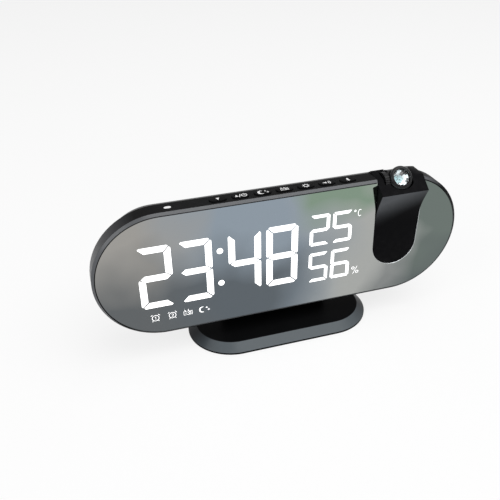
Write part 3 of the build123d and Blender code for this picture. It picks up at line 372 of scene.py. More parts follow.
def block_finish():
    """The fixed projector block: black, with a painted sheen, a paler tone that fades down the chin's slanted
    face.
    """
    material = plastic("Projector plastic", colours().block, 0.38, wear=0.03, dust=0.002, Coat_Roughness=0.3,
                       **MATT)
    tree = material.node_tree
    # painted sheen: paler high on the chin's down-and-forward face, fading down it
    leaning = fitted(tree, along(tree, "X"), CHIN_SHEEN_LEAN, along(tree, "Z"))
    high = maths(tree, "POWER", ramp(tree, leaning, *CHIN_SHEEN_FADE), 1.2)
    slanted = ramp(tree, facing(tree, "Z"), 0.05, -0.30)
    front = ramp(tree, facing(tree, "Y"), -0.3, -0.7)
    paint_sheen_and_coat(material, times(tree, high, times(tree, slanted, front)), (0.064, 0.070, 0.078), 0.35)
    return material


def ring_finish():
    """The focus ring: black, with a painted highlight, a paler tone, on the underside of its rounded front."""
    material = plastic("Focus ring plastic", colours().block, 0.24, wear=0.1, dust=0.002,
                       Coat_Roughness=0.3, **SATIN)
    tree = material.node_tree
    # painted highlight: paler where the rounded front faces down
    paint_sheen_and_coat(material, ramp(tree, facing(tree, "Z"), 0.05, -0.55), (0.095, 0.110, 0.112), 0.4)
    return material


def base_finish():
    """The base: a black top and a smooth sloped band with a painted sheen, strongest as a painted highlight
    along the front.
    """
    material = plastic("Base plastic", colours().base, 0.30, wear=0.02, dust=0.004, spread=0.02,
                       Coat_Roughness=0.25, **MATT)
    tree = material.node_tree
    low, high = (corner.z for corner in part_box("base_cover"))
    height = along(tree, "Z")
    over = ramp(tree, height, low + BASE_WALL - 0.03 * MM, low + BASE_WALL + 0.03 * MM)
    band = times(tree, over, ramp(tree, height, high - 0.02 * MM, high - 0.12 * MM))
    # painted sheen on the sloped band
    paint_sheen_and_coat(material, band, (0.020, 0.022, 0.026), 0.22)
    # painted highlight where the band faces the front
    front = times(tree, band, ramp(tree, facing(tree, "Y"), -0.12, -0.58))
    paint_sheen_and_coat(material, front, (0.080, 0.095, 0.105), 0.4)
    return material


def mirror_finish():
    """Tinted mirror whose colour carries a painted reflection: warm to cool to clear, painted deeper low down
    and at the outer end, with a painted highlight on the notch's ground edge.
    """
    material, tree, bsdf = new_material("Tinted mirror")
    place = own_place(tree)
    wander = noise(tree, place, 26.0, 2.0, "Color", Roughness=0.45)
    swing = first_of(tree, "ShaderNodeVectorMath", {0: wander, 1: (0.5, 0.5, 0.5)}, operation="SUBTRACT")
    inputs = {0: swing, 1: (0.05, 0.0, 0.05), 2: place}
    moved = first_of(tree, "ShaderNodeVectorMath", inputs, operation="MULTIPLY_ADD")
    parts = add(tree, "ShaderNodeSeparateXYZ", {0: moved}).outputs
    across, up = parts["X"], parts["Z"]
    # painted reflection: the colour drifts in zones across the mirror
    tone = REFLECTED_WARM_TINT
    for none, full, tint in REFLECTION_ZONES:
        tone = blend(tree, ramp(tree, across, none * MM, full * MM), tone, tint)
    # painted reflection of leaves high in the middle
    reflected_leaves = times(tree, ramp(tree, across, 4 * MM, 16 * MM), ramp(tree, across, 60 * MM, 46 * MM))
    tone = blend(tree, times(tree, reflected_leaves, ramp(tree, up, 66 * MM, 80 * MM)), tone, REFLECTED_LEAF_TINT)
    # painted dark reflections, deeper low down and at the outer end
    for low, high, near, far, share in DARK_REFLECTIONS:
        depth = times(tree, ramp(tree, up, high * MM, low * MM), ramp(tree, across, near * MM, far * MM))
        tone = blend(tree, times(tree, depth, share), tone, REFLECTED_DARK_TINT)
    # ground edge: dark round the outside, with a painted highlight on the notch's edge where it does not face
    # down
    edge = ramp(tree, facing(tree, "Y"), -0.95, -0.72)
    beside = maths(tree, "ABSOLUTE", maths(tree, "SUBTRACT", along(tree, "X"), TILT_POINT.x))
    notch = times(tree, ramp(tree, beside, 15 * MM, 14 * MM), ramp(tree, facing(tree, "Z"), -0.4, -0.1))
    tone = blend(tree, edge, tone, blend(tree, notch, OUTER_EDGE, NOTCH_EDGE_HIGHLIGHT))
    rough = maths(tree, "ADD", mask_of(tree, "Wiping marks", build_smears, 0.05), 0.03)
    feed(tree, bsdf, Base_Color=tone, Metallic=1.0, Roughness=fitted(tree, edge, 0.3, rough))
    return material


def lit_finish(name, colour, strength):
    """Light guides that glow nearly evenly."""
    material, tree, bsdf = new_material(name)
    tone = blend(tree, grain(tree, 700.0)["Drift"], tinted(colour, 0.96), colour)
    feed(tree, bsdf, Base_Color=tone, Emission_Color=tone, Emission_Strength=strength, Roughness=0.4)
    return material


def print_finish():
    """White printed marks, a little thin in places."""
    material, tree, bsdf = new_material("Key print")
    made = grain(tree, 2500.0)
    feed(tree, bsdf, Base_Color=blend(tree, made["Fine"], (0.62, 0.62, 0.62), (0.92, 0.92, 0.92)),
         Roughness=fitted(tree, made["Drift"], 0.2, 0.45))
    return material


def lens_finish():
    """Clear moulded plastic with faint wiping marks."""
    material, tree, bsdf = new_material("Projection lens")
    tone = blend(tree, grain(tree, 60.0)["Drift"], tinted(LENS_TINT, 0.97), LENS_TINT)
    smears = mask_of(tree, "Wiping marks", build_smears, 0.05)
    feed(tree, bsdf, Base_Color=tone, Roughness=smears, Transmission_Weight=1.0, IOR=1.52)
    return material


def board_finish():
    """Green circuit board with copper runs showing through the lacquer."""
    material, tree, bsdf = new_material("Circuit board")
    turned = first_of(tree, "ShaderNodeMapping", {"Vector": own_place(tree), "Rotation": (math.pi / 2, 0, 0)})
    inputs = {"Vector": turned, "Scale": 260.0, "Mortar Size": 0.03}
    runs = add(tree, "ShaderNodeTexBrick", inputs).outputs["Fac"]
    feed(tree, bsdf, Base_Color=blend(tree, runs, (0.012, 0.085, 0.040), (0.05, 0.20, 0.09)),
         Roughness=fitted(tree, grain(tree, 1200.0)["Drift"], 0.1, 0.28),
         Normal=bumped(tree, runs, 0.02 * MM))
    return material


FINISHES = {
    "rim": rim_finish,
    "mirror": mirror_finish,
    "signs": lambda: lit_finish("Lit signs", colours().signs, 1.3),
    "block": block_finish,
    "ring": ring_finish,
    "pod": lambda: plastic("Lens pod plastic", colours().block, 0.24, wear=0.12, dust=0.002, **SATIN),
    "lens": lens_finish,
    "slide": lambda: plastic("Time slide", (0.58, 0.84, 0.88), 0.10, wear=0.0, dust=0.0, spread=0.02),
    "lamp": lambda: lit_finish("Projection lamp", colours().lamp, 0.8),
    "cup": lambda: metal("Polished cup", (0.88, 0.94, 0.96), 0.14),
    "keys": lambda: plastic("Key plastic", colours().case, 0.5, wear=0.02, dust=0.002, **MATT),
    "print": print_finish,
    "sensor": lambda: plastic("Sensor window", (0.90, 0.90, 0.90), 0.25, wear=0.0, dust=0.0),
    "cover": lambda: plastic("Rear cover plastic", colours().cover, 0.42, 2600.0, 0.02 * MM,
                             wear=0.03, dust=0.05, spread=0.02),
    "base": base_finish,
    "rubber": lambda: plastic("Foot rubber", (0.03, 0.03, 0.03), 0.75, 1500.0, 0.03 * MM, dust=0.1),
    "screw": lambda: metal("Screw steel", (0.50, 0.50, 0.51), 0.35),
    "steel": lambda: metal("Socket steel", (0.66, 0.66, 0.67), 0.25, brushed=0.5),
    "brass": lambda: metal("Contact brass", (0.75, 0.58, 0.28), 0.28),
    "white": lambda: plastic("White plastic", (0.78, 0.78, 0.77), 0.45, wear=0.0, dust=0.02),
    "chip": lambda: plastic("Chip epoxy", (0.025, 0.025, 0.028), 0.5, 2200.0, 0.01 * MM),
    "paper": lambda: plastic("Cone paper", (0.045, 0.043, 0.040), 0.85, 1400.0, 0.05 * MM),
    "board": board_finish,
}


def finish(kind):
    """The material of one kind, made once."""
    made = bpy.data.materials.get(finish.names.get(kind, ""))
    if made is None:
        made = FINISHES[kind]()
        finish.names[kind] = made.name
    return made


finish.names = {}


# ------ mesh helpers
def place_object(name, mesh):
    made = bpy.data.objects.new(name, mesh)
    bpy.context.scene.collection.objects.link(made)
    return made


def place_mesh(name, bm):
    """An edit mesh as a new object; the edit mesh is freed."""
    mesh = bpy.data.meshes.new(name)
    bm.to_mesh(mesh)
    bm.free()
    return place_object(name, mesh)


def mark_edges(mesh):
    """A point attribute that is 1 on rounded edges and 0 on broad faces."""
    narrow = (0.35 * MM) ** 2
    marks = [0.0] * len(mesh.vertices)
    for face in mesh.polygons:
        if face.area < narrow:
            for index in face.vertices:
                marks[index] = 1.0
    mesh.attributes.new("edge", "FLOAT", "POINT").data.foreach_set("value", marks)


def smoothed(bm, sharp_degrees):
    limit = math.radians(sharp_degrees)
    for face in bm.faces:
        face.smooth = True
    for edge in bm.edges:
        edge.smooth = not (len(edge.link_faces) == 2 and edge.calc_face_angle(0.0) > limit)


def merged_copy(node):
    """A node's solid as a clean mesh: corners joined and flat faces whole."""
    bm = bmesh.new()
    bm.from_mesh(frame["nodes"][node].data)
    bmesh.ops.remove_doubles(bm, verts=bm.verts, dist=0.002 * MM)
    bmesh.ops.dissolve_limit(bm, angle_limit=math.radians(0.2), verts=bm.verts, edges=bm.edges)
    return bm


def dressed(node, kind, body="root", edge=0.0, degrees=30.0):
    """A clean copy of a node with its sharp edges rounded; it stands for the node."""
    bm = merged_copy(node)
    smoothed(bm, degrees)
    made = place_mesh(node + "_body", bm)
    if edge:
        modifier = made.modifiers.new("rounding", "BEVEL")
        modifier.width, modifier.segments = edge, 2
        modifier.limit_method = "ANGLE"
        modifier.angle_limit = math.radians(degrees)
        modifier.use_clamp_overlap = False
        modifier.harden_normals = True
    settle(flattened(made), kind, body, [node])


def flattened(carrier):
    """The evaluated object as a plain mesh of the same name."""
    depsgraph = bpy.context.evaluated_depsgraph_get()
    mesh = bpy.data.meshes.new_from_object(carrier.evaluated_get(depsgraph), depsgraph=depsgraph)
    name, old = carrier.name, carrier.data
    bpy.data.objects.remove(carrier)
    bpy.data.meshes.remove(old)
    mesh.name = name
    return place_object(name, mesh)


def settle(made, kind, body, nodes=()):
    """Give a new piece its finish and body; it stands for the nodes it replaces."""
    if not made.data.materials:
        made.data.materials.append(finish(kind))
    mark_edges(made.data)
    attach(made, body)
    if nodes:
        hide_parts(*nodes)


def repaint(kind, *nodes):
    """Give nodes that keep their own mesh a finish."""
    for node in nodes:
        mesh = frame["nodes"][node].data
        mesh.materials.clear()
        mesh.materials.append(finish(kind))


def lathe(name, profile, steps=64):
    """Turn a closed or pole-to-pole profile of (radius, height) round Z."""
    bm = bmesh.new()
    rings = []
    for radius, height in profile:
        turns = [math.tau * i / steps for i in range(steps if radius > 1e-9 else 1)]
        rings.append([bm.verts.new((radius * math.cos(a), radius * math.sin(a), height)) for a in turns])
    for low, high in zip(rings, rings[1:]):
        for i in range(steps):
            j = (i + 1) % steps
            corners = [low[i % len(low)], low[j % len(low)], high[j % len(high)], high[i % len(high)]]
            corners = [v for k, v in enumerate(corners) if v not in corners[:k]]
            if len(corners) > 2:
                bm.faces.new(corners)
    bmesh.ops.remove_doubles(bm, verts=bm.verts, dist=0.0005 * MM)
    bmesh.ops.recalc_face_normals(bm, faces=bm.faces)
    smoothed(bm, 40)
    return place_mesh(name, bm)


# ------ geometry node trees
def new_shape_tree(name, *inputs):
    """An empty geometry tree that takes a finish."""
    inputs = [("Geometry", "NodeSocketGeometry", None), *inputs, ("Finish", "NodeSocketMaterial", None)]
    made = new_group(name, "GeometryNodeTree", inputs, [("Geometry", "NodeSocketGeometry")])
    made[0].is_modifier = True
    return made


def close_tree(tree, given, end, shape):
    """Every tree ends in real geometry with its material."""
    real = first_of(tree, "GeometryNodeRealizeInstances", {"Geometry": shape})
    inputs = {"Geometry": real, "Material": given["Finish"]}
    return close_group(tree, end, Geometry=first_of(tree, "GeometryNodeSetMaterial", inputs))


def build_plates(name):
    """Flat closed outlines in XY become thin plates, raised along Z."""
    tree, given, end = new_shape_tree(name, ("Relief", FLOAT, 0.03 * MM))
    curve = first_of(tree, "GeometryNodeMeshToCurve", {"Mesh": given["Geometry"]})
    flat = first_of(tree, "GeometryNodeFillCurve", {"Curve": curve}, mode="NGONS")
    inputs = {"Mesh": flat, "Offset Scale": given["Relief"], "Individual": False}
    raised = add(tree, "GeometryNodeExtrudeMesh", inputs).outputs["Mesh"]
    back = first_of(tree, "GeometryNodeFlipFaces", {"Mesh": flat})
    both = add(tree, "GeometryNodeJoinGeometry")
    tree.links.new(raised, both.inputs[0])
    tree.links.new(back, both.inputs[0])
    inputs = {"Geometry": both.outputs[0], "Distance": 0.001 * MM}
    return close_tree(tree, given, end, first_of(tree, "GeometryNodeMergeByDistance", inputs))


def build_strokes(name):
    """Polylines in XY become flat strokes; the point attribute share scales their width."""
    tree, given, end = new_shape_tree(name, ("Half width", FLOAT, 0.25 * MM), ("Relief", FLOAT, 0.03 * MM))
    half, relief = given["Half width"], given["Relief"]
    curve = first_of(tree, "GeometryNodeMeshToCurve", {"Mesh": given["Geometry"]})
    ring = first_of(tree, "GeometryNodeCurvePrimitiveCircle", {"Resolution": 10, "Radius": half})
    share = first_of(tree, "GeometryNodeInputNamedAttribute", {"Name": "share"}, data_type="FLOAT")
    inputs = {"Curve": curve, "Profile Curve": ring, "Scale": share, "Fill Caps": True}
    tube = first_of(tree, "GeometryNodeCurveToMesh", inputs)
    where = add(tree, "ShaderNodeSeparateXYZ", {0: first_of(tree, "GeometryNodeInputPosition")}).outputs
    height = times(tree, where["Z"], maths(tree, "DIVIDE", relief, half))
    spot = first_of(tree, "ShaderNodeCombineXYZ", {0: where["X"], 1: where["Y"], 2: height})
    flat = first_of(tree, "GeometryNodeSetPosition", {"Geometry": tube, "Position": spot})
    return close_tree(tree, given, end, flat)


def set_out(tree, given, end, points, turn):
    """The piece set out at each point with its own turn, as the tree's end."""
    piece = add(tree, "GeometryNodeObjectInfo", {"Object": given["Piece"]}).outputs["Geometry"]
    inputs = {"Points": points, "Instance": piece, "Rotation": turn}
    return close_tree(tree, given, end, first_of(tree, "GeometryNodeInstanceOnPoints", inputs))


def build_copies(name):
    """One piece set out at each point, all turned the same way."""
    inputs = ("Piece", "NodeSocketObject", None), ("Turn", "NodeSocketVector", None)
    tree, given, end = new_shape_tree(name, *inputs)
    turn = first_of(tree, "FunctionNodeEulerToRotation", {0: given["Turn"]})
    return set_out(tree, given, end, given["Geometry"], turn)


def build_rib_ring(name):
    """A ring of ribs round Z: count, radius and the rib piece."""
    count, radius = ("Count", "NodeSocketInt", 24), ("Radius", FLOAT, 6.0 * MM)
    tree, given, end = new_shape_tree(name, count, radius, ("Piece", "NodeSocketObject", None))
    ring = first_of(tree, "GeometryNodeMeshCircle", {"Vertices": given["Count"], "Radius": given["Radius"]})
    spot = first_of(tree, "GeometryNodeInputPosition")
    turn = first_of(tree, "FunctionNodeAlignRotationToVector", {"Vector": spot}, axis="X")
    return set_out(tree, given, end, ring, turn)


def grown(name, mesh, tree_name, build, kind, matrix=Matrix.Identity(4), **values):
    """Run a geometry tree on a mesh and keep the result as a plain mesh in its place."""
    tree = group_of(tree_name, build)
    carrier = place_object(name, mesh)
    modifier = carrier.modifiers.new("shape", "NODES")
    modifier.node_group = tree
    values["Finish"] = finish(kind)
    for item in tree.interface.items_tree:
        label = item.name.replace(" ", "_")
        if item.item_type == "SOCKET" and item.in_out == "INPUT" and label in values:
            modifier[item.identifier] = values[label]
    made = flattened(carrier)
    made.data.transform(matrix)
    return made


def lines_mesh(name, lines):
    """Polylines as edges; each is a list of (x, y) or (x, y, width share), closed if its ends meet."""
    points, edges, shares = [], [], []
    for line in lines:
        closed = line[0][:2] == line[-1][:2] and len(line) > 2
        line = line[:-1] if closed else line
        first = len(points)
        for point in line:
            points.append((point[0], point[1], 0.0))
            shares.append(point[2] if len(point) > 2 else 1.0)
        edges += [(i, i + 1) for i in range(first, len(points) - 1)]
        if closed:
            edges.append((len(points) - 1, first))
    mesh = bpy.data.meshes.new(name)
    mesh.from_pydata(points, edges, [])
    mesh.attributes.new("share", "FLOAT", "POINT").data.foreach_set("value", shares)
    return mesh


def joined(name, objects):
    """Several new pieces of one finish as one piece."""
    bm = bmesh.new()
    for item in objects:
        bm.from_mesh(item.data)
        bpy.data.objects.remove(item)
    for face in bm.faces:
        face.material_index = 0
    return place_mesh(name, bm)


def rounded_bar(name, size, rounding):
    """A small bar centred on the origin with rounded edges."""
    bm = bmesh.new()
    bmesh.ops.create_cube(bm, size=1.0, matrix=Matrix.Diagonal((*size, 1.0)))
    bmesh.ops.bevel(bm, geom=bm.edges[:], offset=rounding, segments=2, affect="EDGES", profile=0.5)
    smoothed(bm, 40)
    return place_mesh(name, bm)


# ------ screws
def island_boxes(node):
    """The low and high corners of each separate solid in a node."""
    bm = merged_copy(node)
    left = set(bm.verts)
    boxes = []
    while left:
        island, edge = set(), {left.pop()}
        while edge:
            island |= edge
            edge = {e.other_vert(v) for v in edge for e in v.link_edges} - island
        left -= island
        boxes.append([Vector([pick(v.co[i] for v in island) for i in range(3)]) for pick in (min, max)])
    bm.free()
    return boxes


SHANK, HEAD_DEPTH = 1.2 * MM, 1.0 * MM
CROSS_LENGTH, CROSS_WIDTH = 3.0 * MM, 0.5 * MM


def screw_master(name, head, length):
    """A cross-head screw along +Z with the top of its head at the origin."""
    profile = [(head * math.sin(a), HEAD_DEPTH * 0.45 * (math.cos(a) - 1.0)) for a in QUARTER]
    profile += [(head, -HEAD_DEPTH), (SHANK, -HEAD_DEPTH), (SHANK, -length + SHANK), (0.0, -length)]
    body = lathe(name, profile, 40)
    cutters = []
    for arm in ((CROSS_LENGTH, CROSS_WIDTH, HEAD_DEPTH), (CROSS_WIDTH, CROSS_LENGTH, HEAD_DEPTH)):
        cutters.append(rounded_bar("recess", arm, 0.08 * MM))
        modifier = body.modifiers.new("recess", "BOOLEAN")
        modifier.operation, modifier.solver, modifier.object = "DIFFERENCE", "EXACT", cutters[-1]
    body = flattened(body)
    for cutter in cutters:
        bpy.data.objects.remove(cutter)
    return body


def screw_copies(node, axis, heads):
    """Screws set out where a node has them; their heads point along the axis, or against it for -1."""
    boxes = island_boxes(node)
    i = "XYZ".index(axis)
    low, high = boxes[0]
    length, head = high[i] - low[i], (high[(i + 1) % 3] - low[(i + 1) % 3]) / 2
    master = screw_master(node + "_master", head, length)
    points = []
    for low, high in boxes:
        point = (low + high) / 2
        point[i] = high[i] if heads > 0 else low[i]
        points.append(point)
    mesh = bpy.data.meshes.new(node + "_set")
    mesh.from_pydata(points, [], [])
    turn = {"Y": -math.pi / 2, "Z": 0.0}[axis] if heads > 0 else math.pi
    made = grown(node + "_set", mesh, "Copies", build_copies, "screw", Piece=master, Turn=(turn, 0.0, 0.0))
    bpy.data.objects.remove(master)
    settle(made, "screw", "root", [node])


# ------ signs
# the bars that each digit lights: a on top, b and c on the right, d below, e and f on the left, g across
BARS = {"2": "abged", "3": "abgcd", "4": "fgbc", "5": "afgcd", "6": "afgecd", "8": "abcdefg"}


def digit_outlines(sign, left, low, width, height, bar, cut, gap):
    """Closed outlines of a digit's lit bars: corners cut off, mitres a gap apart."""
    right, high, middle = left + width, low + height, low + height / 2
    outer, inner = (cut - gap) / 2, (cut + gap) / 2

    def level(y, inward):
        near, far = y + inward * outer, y + inward * bar
        return [(left + cut, y), (right - cut, y), (right - inner, near), (right - bar - gap, far),
                (left + bar + gap, far), (left + inner, near)]

    def upright(x, inward, y, away):
        far = x + inward * bar
        return [(x, y - away * cut), (x + inward * outer, y - away * inner), (far, y - away * (bar + gap)),
                (far, middle + away * 0.68 * bar), (x + inward * 0.14 * bar, middle + away * 0.11 * bar),
                (x, middle + away * 0.36 * bar)]

    tip, shoulder, half = 0.32 * bar, 0.94 * bar, 0.51 * bar
    shapes = {
        "a": level(high, -1), "d": level(low, 1),
        "g": [(left + tip, middle), (left + shoulder, middle + half), (right - shoulder, middle + half),
              (right - tip, middle), (right - shoulder, middle - half), (left + shoulder, middle - half)],
        "f": upright(left, 1, high, 1), "b": upright(right, -1, high, 1),
        "e": upright(left, 1, low, -1), "c": upright(right, -1, low, -1),
    }
    return [[*shapes[lit], shapes[lit][0]] for lit in BARS[sign]]


def circle(x, y, radius, steps=28, start=0.0, stop=360.0, stretch=1.0):
    """Points round an oval or along its arc; a whole one closes on its first point."""
    points = []
    for i in range(steps + 1):
        turn = math.radians(start + (stop - start) * i / steps)
        points.append((x + radius * math.cos(turn), y + radius * stretch * math.sin(turn)))
    if abs(stop - start) >= 360.0:
        points[-1] = points[0]
    return points


def scaled(lines, x, y, size):
    return [[(x + point[0] * size, y + point[1] * size, *point[2:]) for point in line] for line in lines]


def alarm_sign(number):
    """A small alarm clock with a number on its dial."""
    marks = {1: [[(-0.14, 0.18), (0.04, 0.34), (0.04, -0.34)]],
             2: [[(-0.2, 0.26), (0.0, 0.36), (0.2, 0.22), (0.16, 0.02), (-0.22, -0.34), (0.24, -0.34)]]}
    return [circle(0, 0, 0.74), [(-0.98, 0.62), (-0.62, 0.96)], [(0.98, 0.62), (0.62, 0.96)],
            [(-0.55, -0.66), (-0.74, -0.92)], [(0.55, -0.66), (0.74, -0.92)], *marks[number]]


def night_sign():
    """A moon with two small stars beside it."""
    arc = enumerate(circle(0.1, 0, 0.72, 20, 60, 300))
    moon = [(*point, 0.15 + 2.6 * math.sin(math.pi * i / 20)) for i, point in arc]
    stars = []
    for x, y, reach in ((0.75, 0.45, 0.24), (1.25, -0.25, 0.3)):
        stars += [[(x - reach, y), (x + reach, y)], [(x, y - reach), (x, y + reach)]]
    return scaled([moon], -0.35, 0.0, 1.1) + stars


def gear_sign():
    turns = [math.pi * i / 4 for i in range(8)]
    teeth = [[(reach * math.cos(a), reach * math.sin(a)) for reach in (0.62, 0.92)] for a in turns]
    return [circle(0, 0, 0.56, 24), *teeth]


def arrow_sign(up, x=0.0):
    return [(x, 0.62 * up, 0.0), (x, -0.5 * up, 4.0)]


BOX = [(-0.95, -0.6), (0.95, -0.6), (0.95, 0.35), (-0.95, 0.35), (-0.95, -0.6)]
PROJECTOR_SIGN = [BOX, circle(0.4, -0.12, 0.26, 16), [(-0.62, -0.12), (-0.18, -0.12)],
                  [(-0.5, 0.42), (-0.8, 0.85)], [(0.1, 0.42), (0.1, 0.9)]]
DEGREES_SIGN = [circle(-2.8, 1.5, 0.5, 14), circle(0, 0, 1.0, 18, 50, 310, 2.0)]
PERCENT_SIGN = [circle(-1.3, 1.4, 0.8, 14), circle(1.3, -1.4, 0.8, 14), [(1.2, 2.45), (-1.2, -2.45)]]
BELL_SIGN = [[(0, 0.75, 0.8), (0, 0.45, 2.2), (0, -0.1, 2.9), (0, -0.45, 4.2)], [(-0.2, -0.72), (0.2, -0.72)]]
SPEAKER_SIGN = [[(-0.9, 0, 1.6), (-0.5, 0, 1.6), (-0.05, 0, 4.0)],
                circle(0.0, 0, 0.45, 10, -50, 50), circle(0.0, 0, 0.82, 14, -50, 50)]
HOURS_SIGN = [arrow_sign(1, -1.0), [(-0.4, -0.75), (0.1, 0.75)],
              circle(0.95, 0, 0.66, 20), [(0.95, 0.4), (0.95, 0.0), (1.25, 0.0)]]
KEY_SIGNS = {
    "down_key": [arrow_sign(-1)], "up_key": HOURS_SIGN, "snooze_key": night_sign(),
    "projector_key": PROJECTOR_SIGN, "set_key": gear_sign(),
    "volume_key": scaled(SPEAKER_SIGN, -0.1, 0, 1.15), "alarm_key": BELL_SIGN,
}
# digits as (sign, left, low), colon dots as (x, z) and face signs as (lines, x, z, reach), in mm
LARGE_DIGITS = (("2", -80.5, 34.5), ("3", -59.2, 34.5), ("4", -32.5, 34.5), ("8", -11.6, 34.5))
SMALL_DIGITS = (("2", 13.1, 55.7), ("5", 26.3, 55.7), ("5", 13.1, 31.9), ("6", 26.3, 31.9))
LARGE_CUT, LARGE_GAP = 1.9, 0.5          # corner cuts and gaps between the bars
SMALL_CUT, SMALL_GAP = 1.0, 0.38
COLON = ((-37.0, 42.7), (-37.0, 62.8))
COLON_RADIUS = 1.7
FACE_SIGNS = (
    (alarm_sign(1), -74.1, 27.6, 2.5), (alarm_sign(2), -64.9, 27.5, 2.5),
    (PROJECTOR_SIGN, -56.4, 27.35, 2.45), (night_sign(), -47.6, 27.4, 2.2),
    (DEGREES_SIGN, 41.9, 72.0, 1.0), (PERCENT_SIGN, 41.8, 34.8, 1.0),
)
KEY_SIGN_SIZE = 2.1
KEY_MIDDLE = -8.8
UPRIGHT = Matrix.Rotation(math.pi / 2, 4, "X")
SIGN_SEAT = 0.01 * MM                    # how far the lit signs are sunk into the mirror
PRINT_HALF, PRINT_RELIEF = 0.24 * MM, 0.015 * MM
GRIP_HEIGHT, GRIP_RADIUS = 4.2 * MM, 6.24 * MM
STAR = ((5, 0.6, 1.0), (3, -0.5, 0.6), (2, -1.4, 0.5))    # count, lag and share of each wave
STAR_HEIGHT = 0.13 * MM
# facets lower than these get dark plastic: painted shade in the lens glints
BRIGHT_OUTSIDE, BRIGHT_INSIDE = 0.4, -0.9     # how high a facet must be to be polished
SLIDE_FACE = 1.8 * MM
SLIDE_DIGIT = (0.66, 1.6, 0.16, 0.06, 0.02)   # width, height, bar, cut, gap


def plates(name, outlines, kind, matrix, relief):
    """Closed outlines as thin plates."""
    return grown(name, lines_mesh(name, outlines), "Sign plates", build_plates, kind, matrix, Relief=relief)


def strokes(name, lines, kind, matrix, half_width, relief):
    """Polylines as flat strokes."""
    return grown(name, lines_mesh(name, lines), "Sign strokes", build_strokes, kind, matrix,
                 Half_width=half_width, Relief=relief)


class CLOCK_OT_front_frame(bpy.types.Operator):
    """Round the rim's edges and give it its plastic"""

    bl_idname = "clock.front_frame"
    bl_label = "Front frame"

    def execute(self, context):
        dressed("front_frame", "rim", edge=sizes().case_round)
        return {"FINISHED"}


class CLOCK_OT_mirror(bpy.types.Operator):
    """Polish the mirror panel and its ground edge"""

    bl_idname = "clock.mirror"
    bl_label = "Mirror panel"

    def execute(self, context):
        dressed("mirror_panel", "mirror", edge=sizes().mirror_arris, degrees=45)
        return {"FINISHED"}


class CLOCK_OT_signs(bpy.types.Operator):
    """Light the digits and small signs on the mirror"""

    bl_idname = "clock.signs"
    bl_label = "Lit signs"

    def execute(self, context):
        size = sizes()
        large = (size.digit_width, size.digit_height, size.digit_bar, LARGE_CUT * MM, LARGE_GAP * MM)
        small = (size.small_width, size.small_height, size.small_bar, SMALL_CUT * MM, SMALL_GAP * MM)
        outlines = []
        for digits, measures in ((LARGE_DIGITS, large), (SMALL_DIGITS, small)):
            for sign, left, low in digits:
                outlines += digit_outlines(sign, left * MM, low * MM, *measures)
        outlines += [circle(x * MM, z * MM, COLON_RADIUS * MM) for x, z in COLON]
        on_mirror = Matrix.Translation((0, MIRROR_FRONT + SIGN_SEAT, 0)) @ UPRIGHT
        made = plates("lit_digits", outlines, "signs", on_mirror, size.sign_relief)
        settle(made, "signs", "root")
        lines = []
        for shape, x, z, reach in FACE_SIGNS:
            lines += scaled(shape, x * MM, z * MM, reach * MM)
        made = strokes("lit_marks", lines, "signs", on_mirror, size.sign_stroke, size.sign_relief)
        settle(made, "signs", "root")
        return {"FINISHED"}


class CLOCK_OT_projector(bpy.types.Operator):
    """Dress the projector block, the tilting lens pod, its focus ring and the lens"""

    bl_idname = "clock.projector"
    bl_label = "Projector"

    def execute(self, context):
        size = sizes()
        dressed("projector_block", "block", edge=size.case_round)
        dressed("lens_pod", "pod", POD_BODY, edge=size.fine_round)
        make_focus_ring()
        dressed("projection_lens", "lens", POD_BODY)
        dressed("time_slide", "slide", POD_BODY)
        dressed("projection_lamp", "lamp", POD_BODY)
        make_reflector()
        return {"FINISHED"}


def make_focus_ring():
    """The focus ring: a turned body with a fine grip of ribs behind its rounded front."""
    back, front, outer, barrel, mouth, groove = 3.5, 6.5, 6.5, 5.55, 4.7, 6.25
    profile = [(barrel, back), (barrel, 5.6), (mouth, 5.6), (mouth, front - 0.2), (mouth + 0.2, front)]
    profile += [(5.0 + 1.5 * math.sin(a), 5.0 + 1.5 * math.cos(a)) for a in QUARTER]
    profile += [(outer, 4.95), (groove, 4.85), (groove, back), (barrel, back)]
    body = lathe("ring_body", [(radius * MM, height * MM) for radius, height in profile], 96)
    rib = rounded_bar("ring_rib", (0.42 * MM, 0.62 * MM, 1.3 * MM), 0.12 * MM)
    middle = Matrix.Translation((0, 0, GRIP_HEIGHT))
    grip = grown("ring_grip", bpy.data.meshes.new("ring_grip"), "Rib ring", build_rib_ring, "ring", middle,
                 Count=sizes().ring_ribs, Radius=GRIP_RADIUS, Piece=rib)
    bpy.data.objects.remove(rib)
    made = joined("focus_ring_body", [body, grip])
    made.data.transform(AIMED)
    settle(made, "ring", RING_BODY, ["focus_ring"])


def star(spot):
    """How far a facet of the lens seat is raised: an uneven star, lowest on its upper left."""
    turn = math.atan2(spot.y, spot.x)
    return sum(share * math.cos(count * turn + lag) for count, lag, share in STAR)


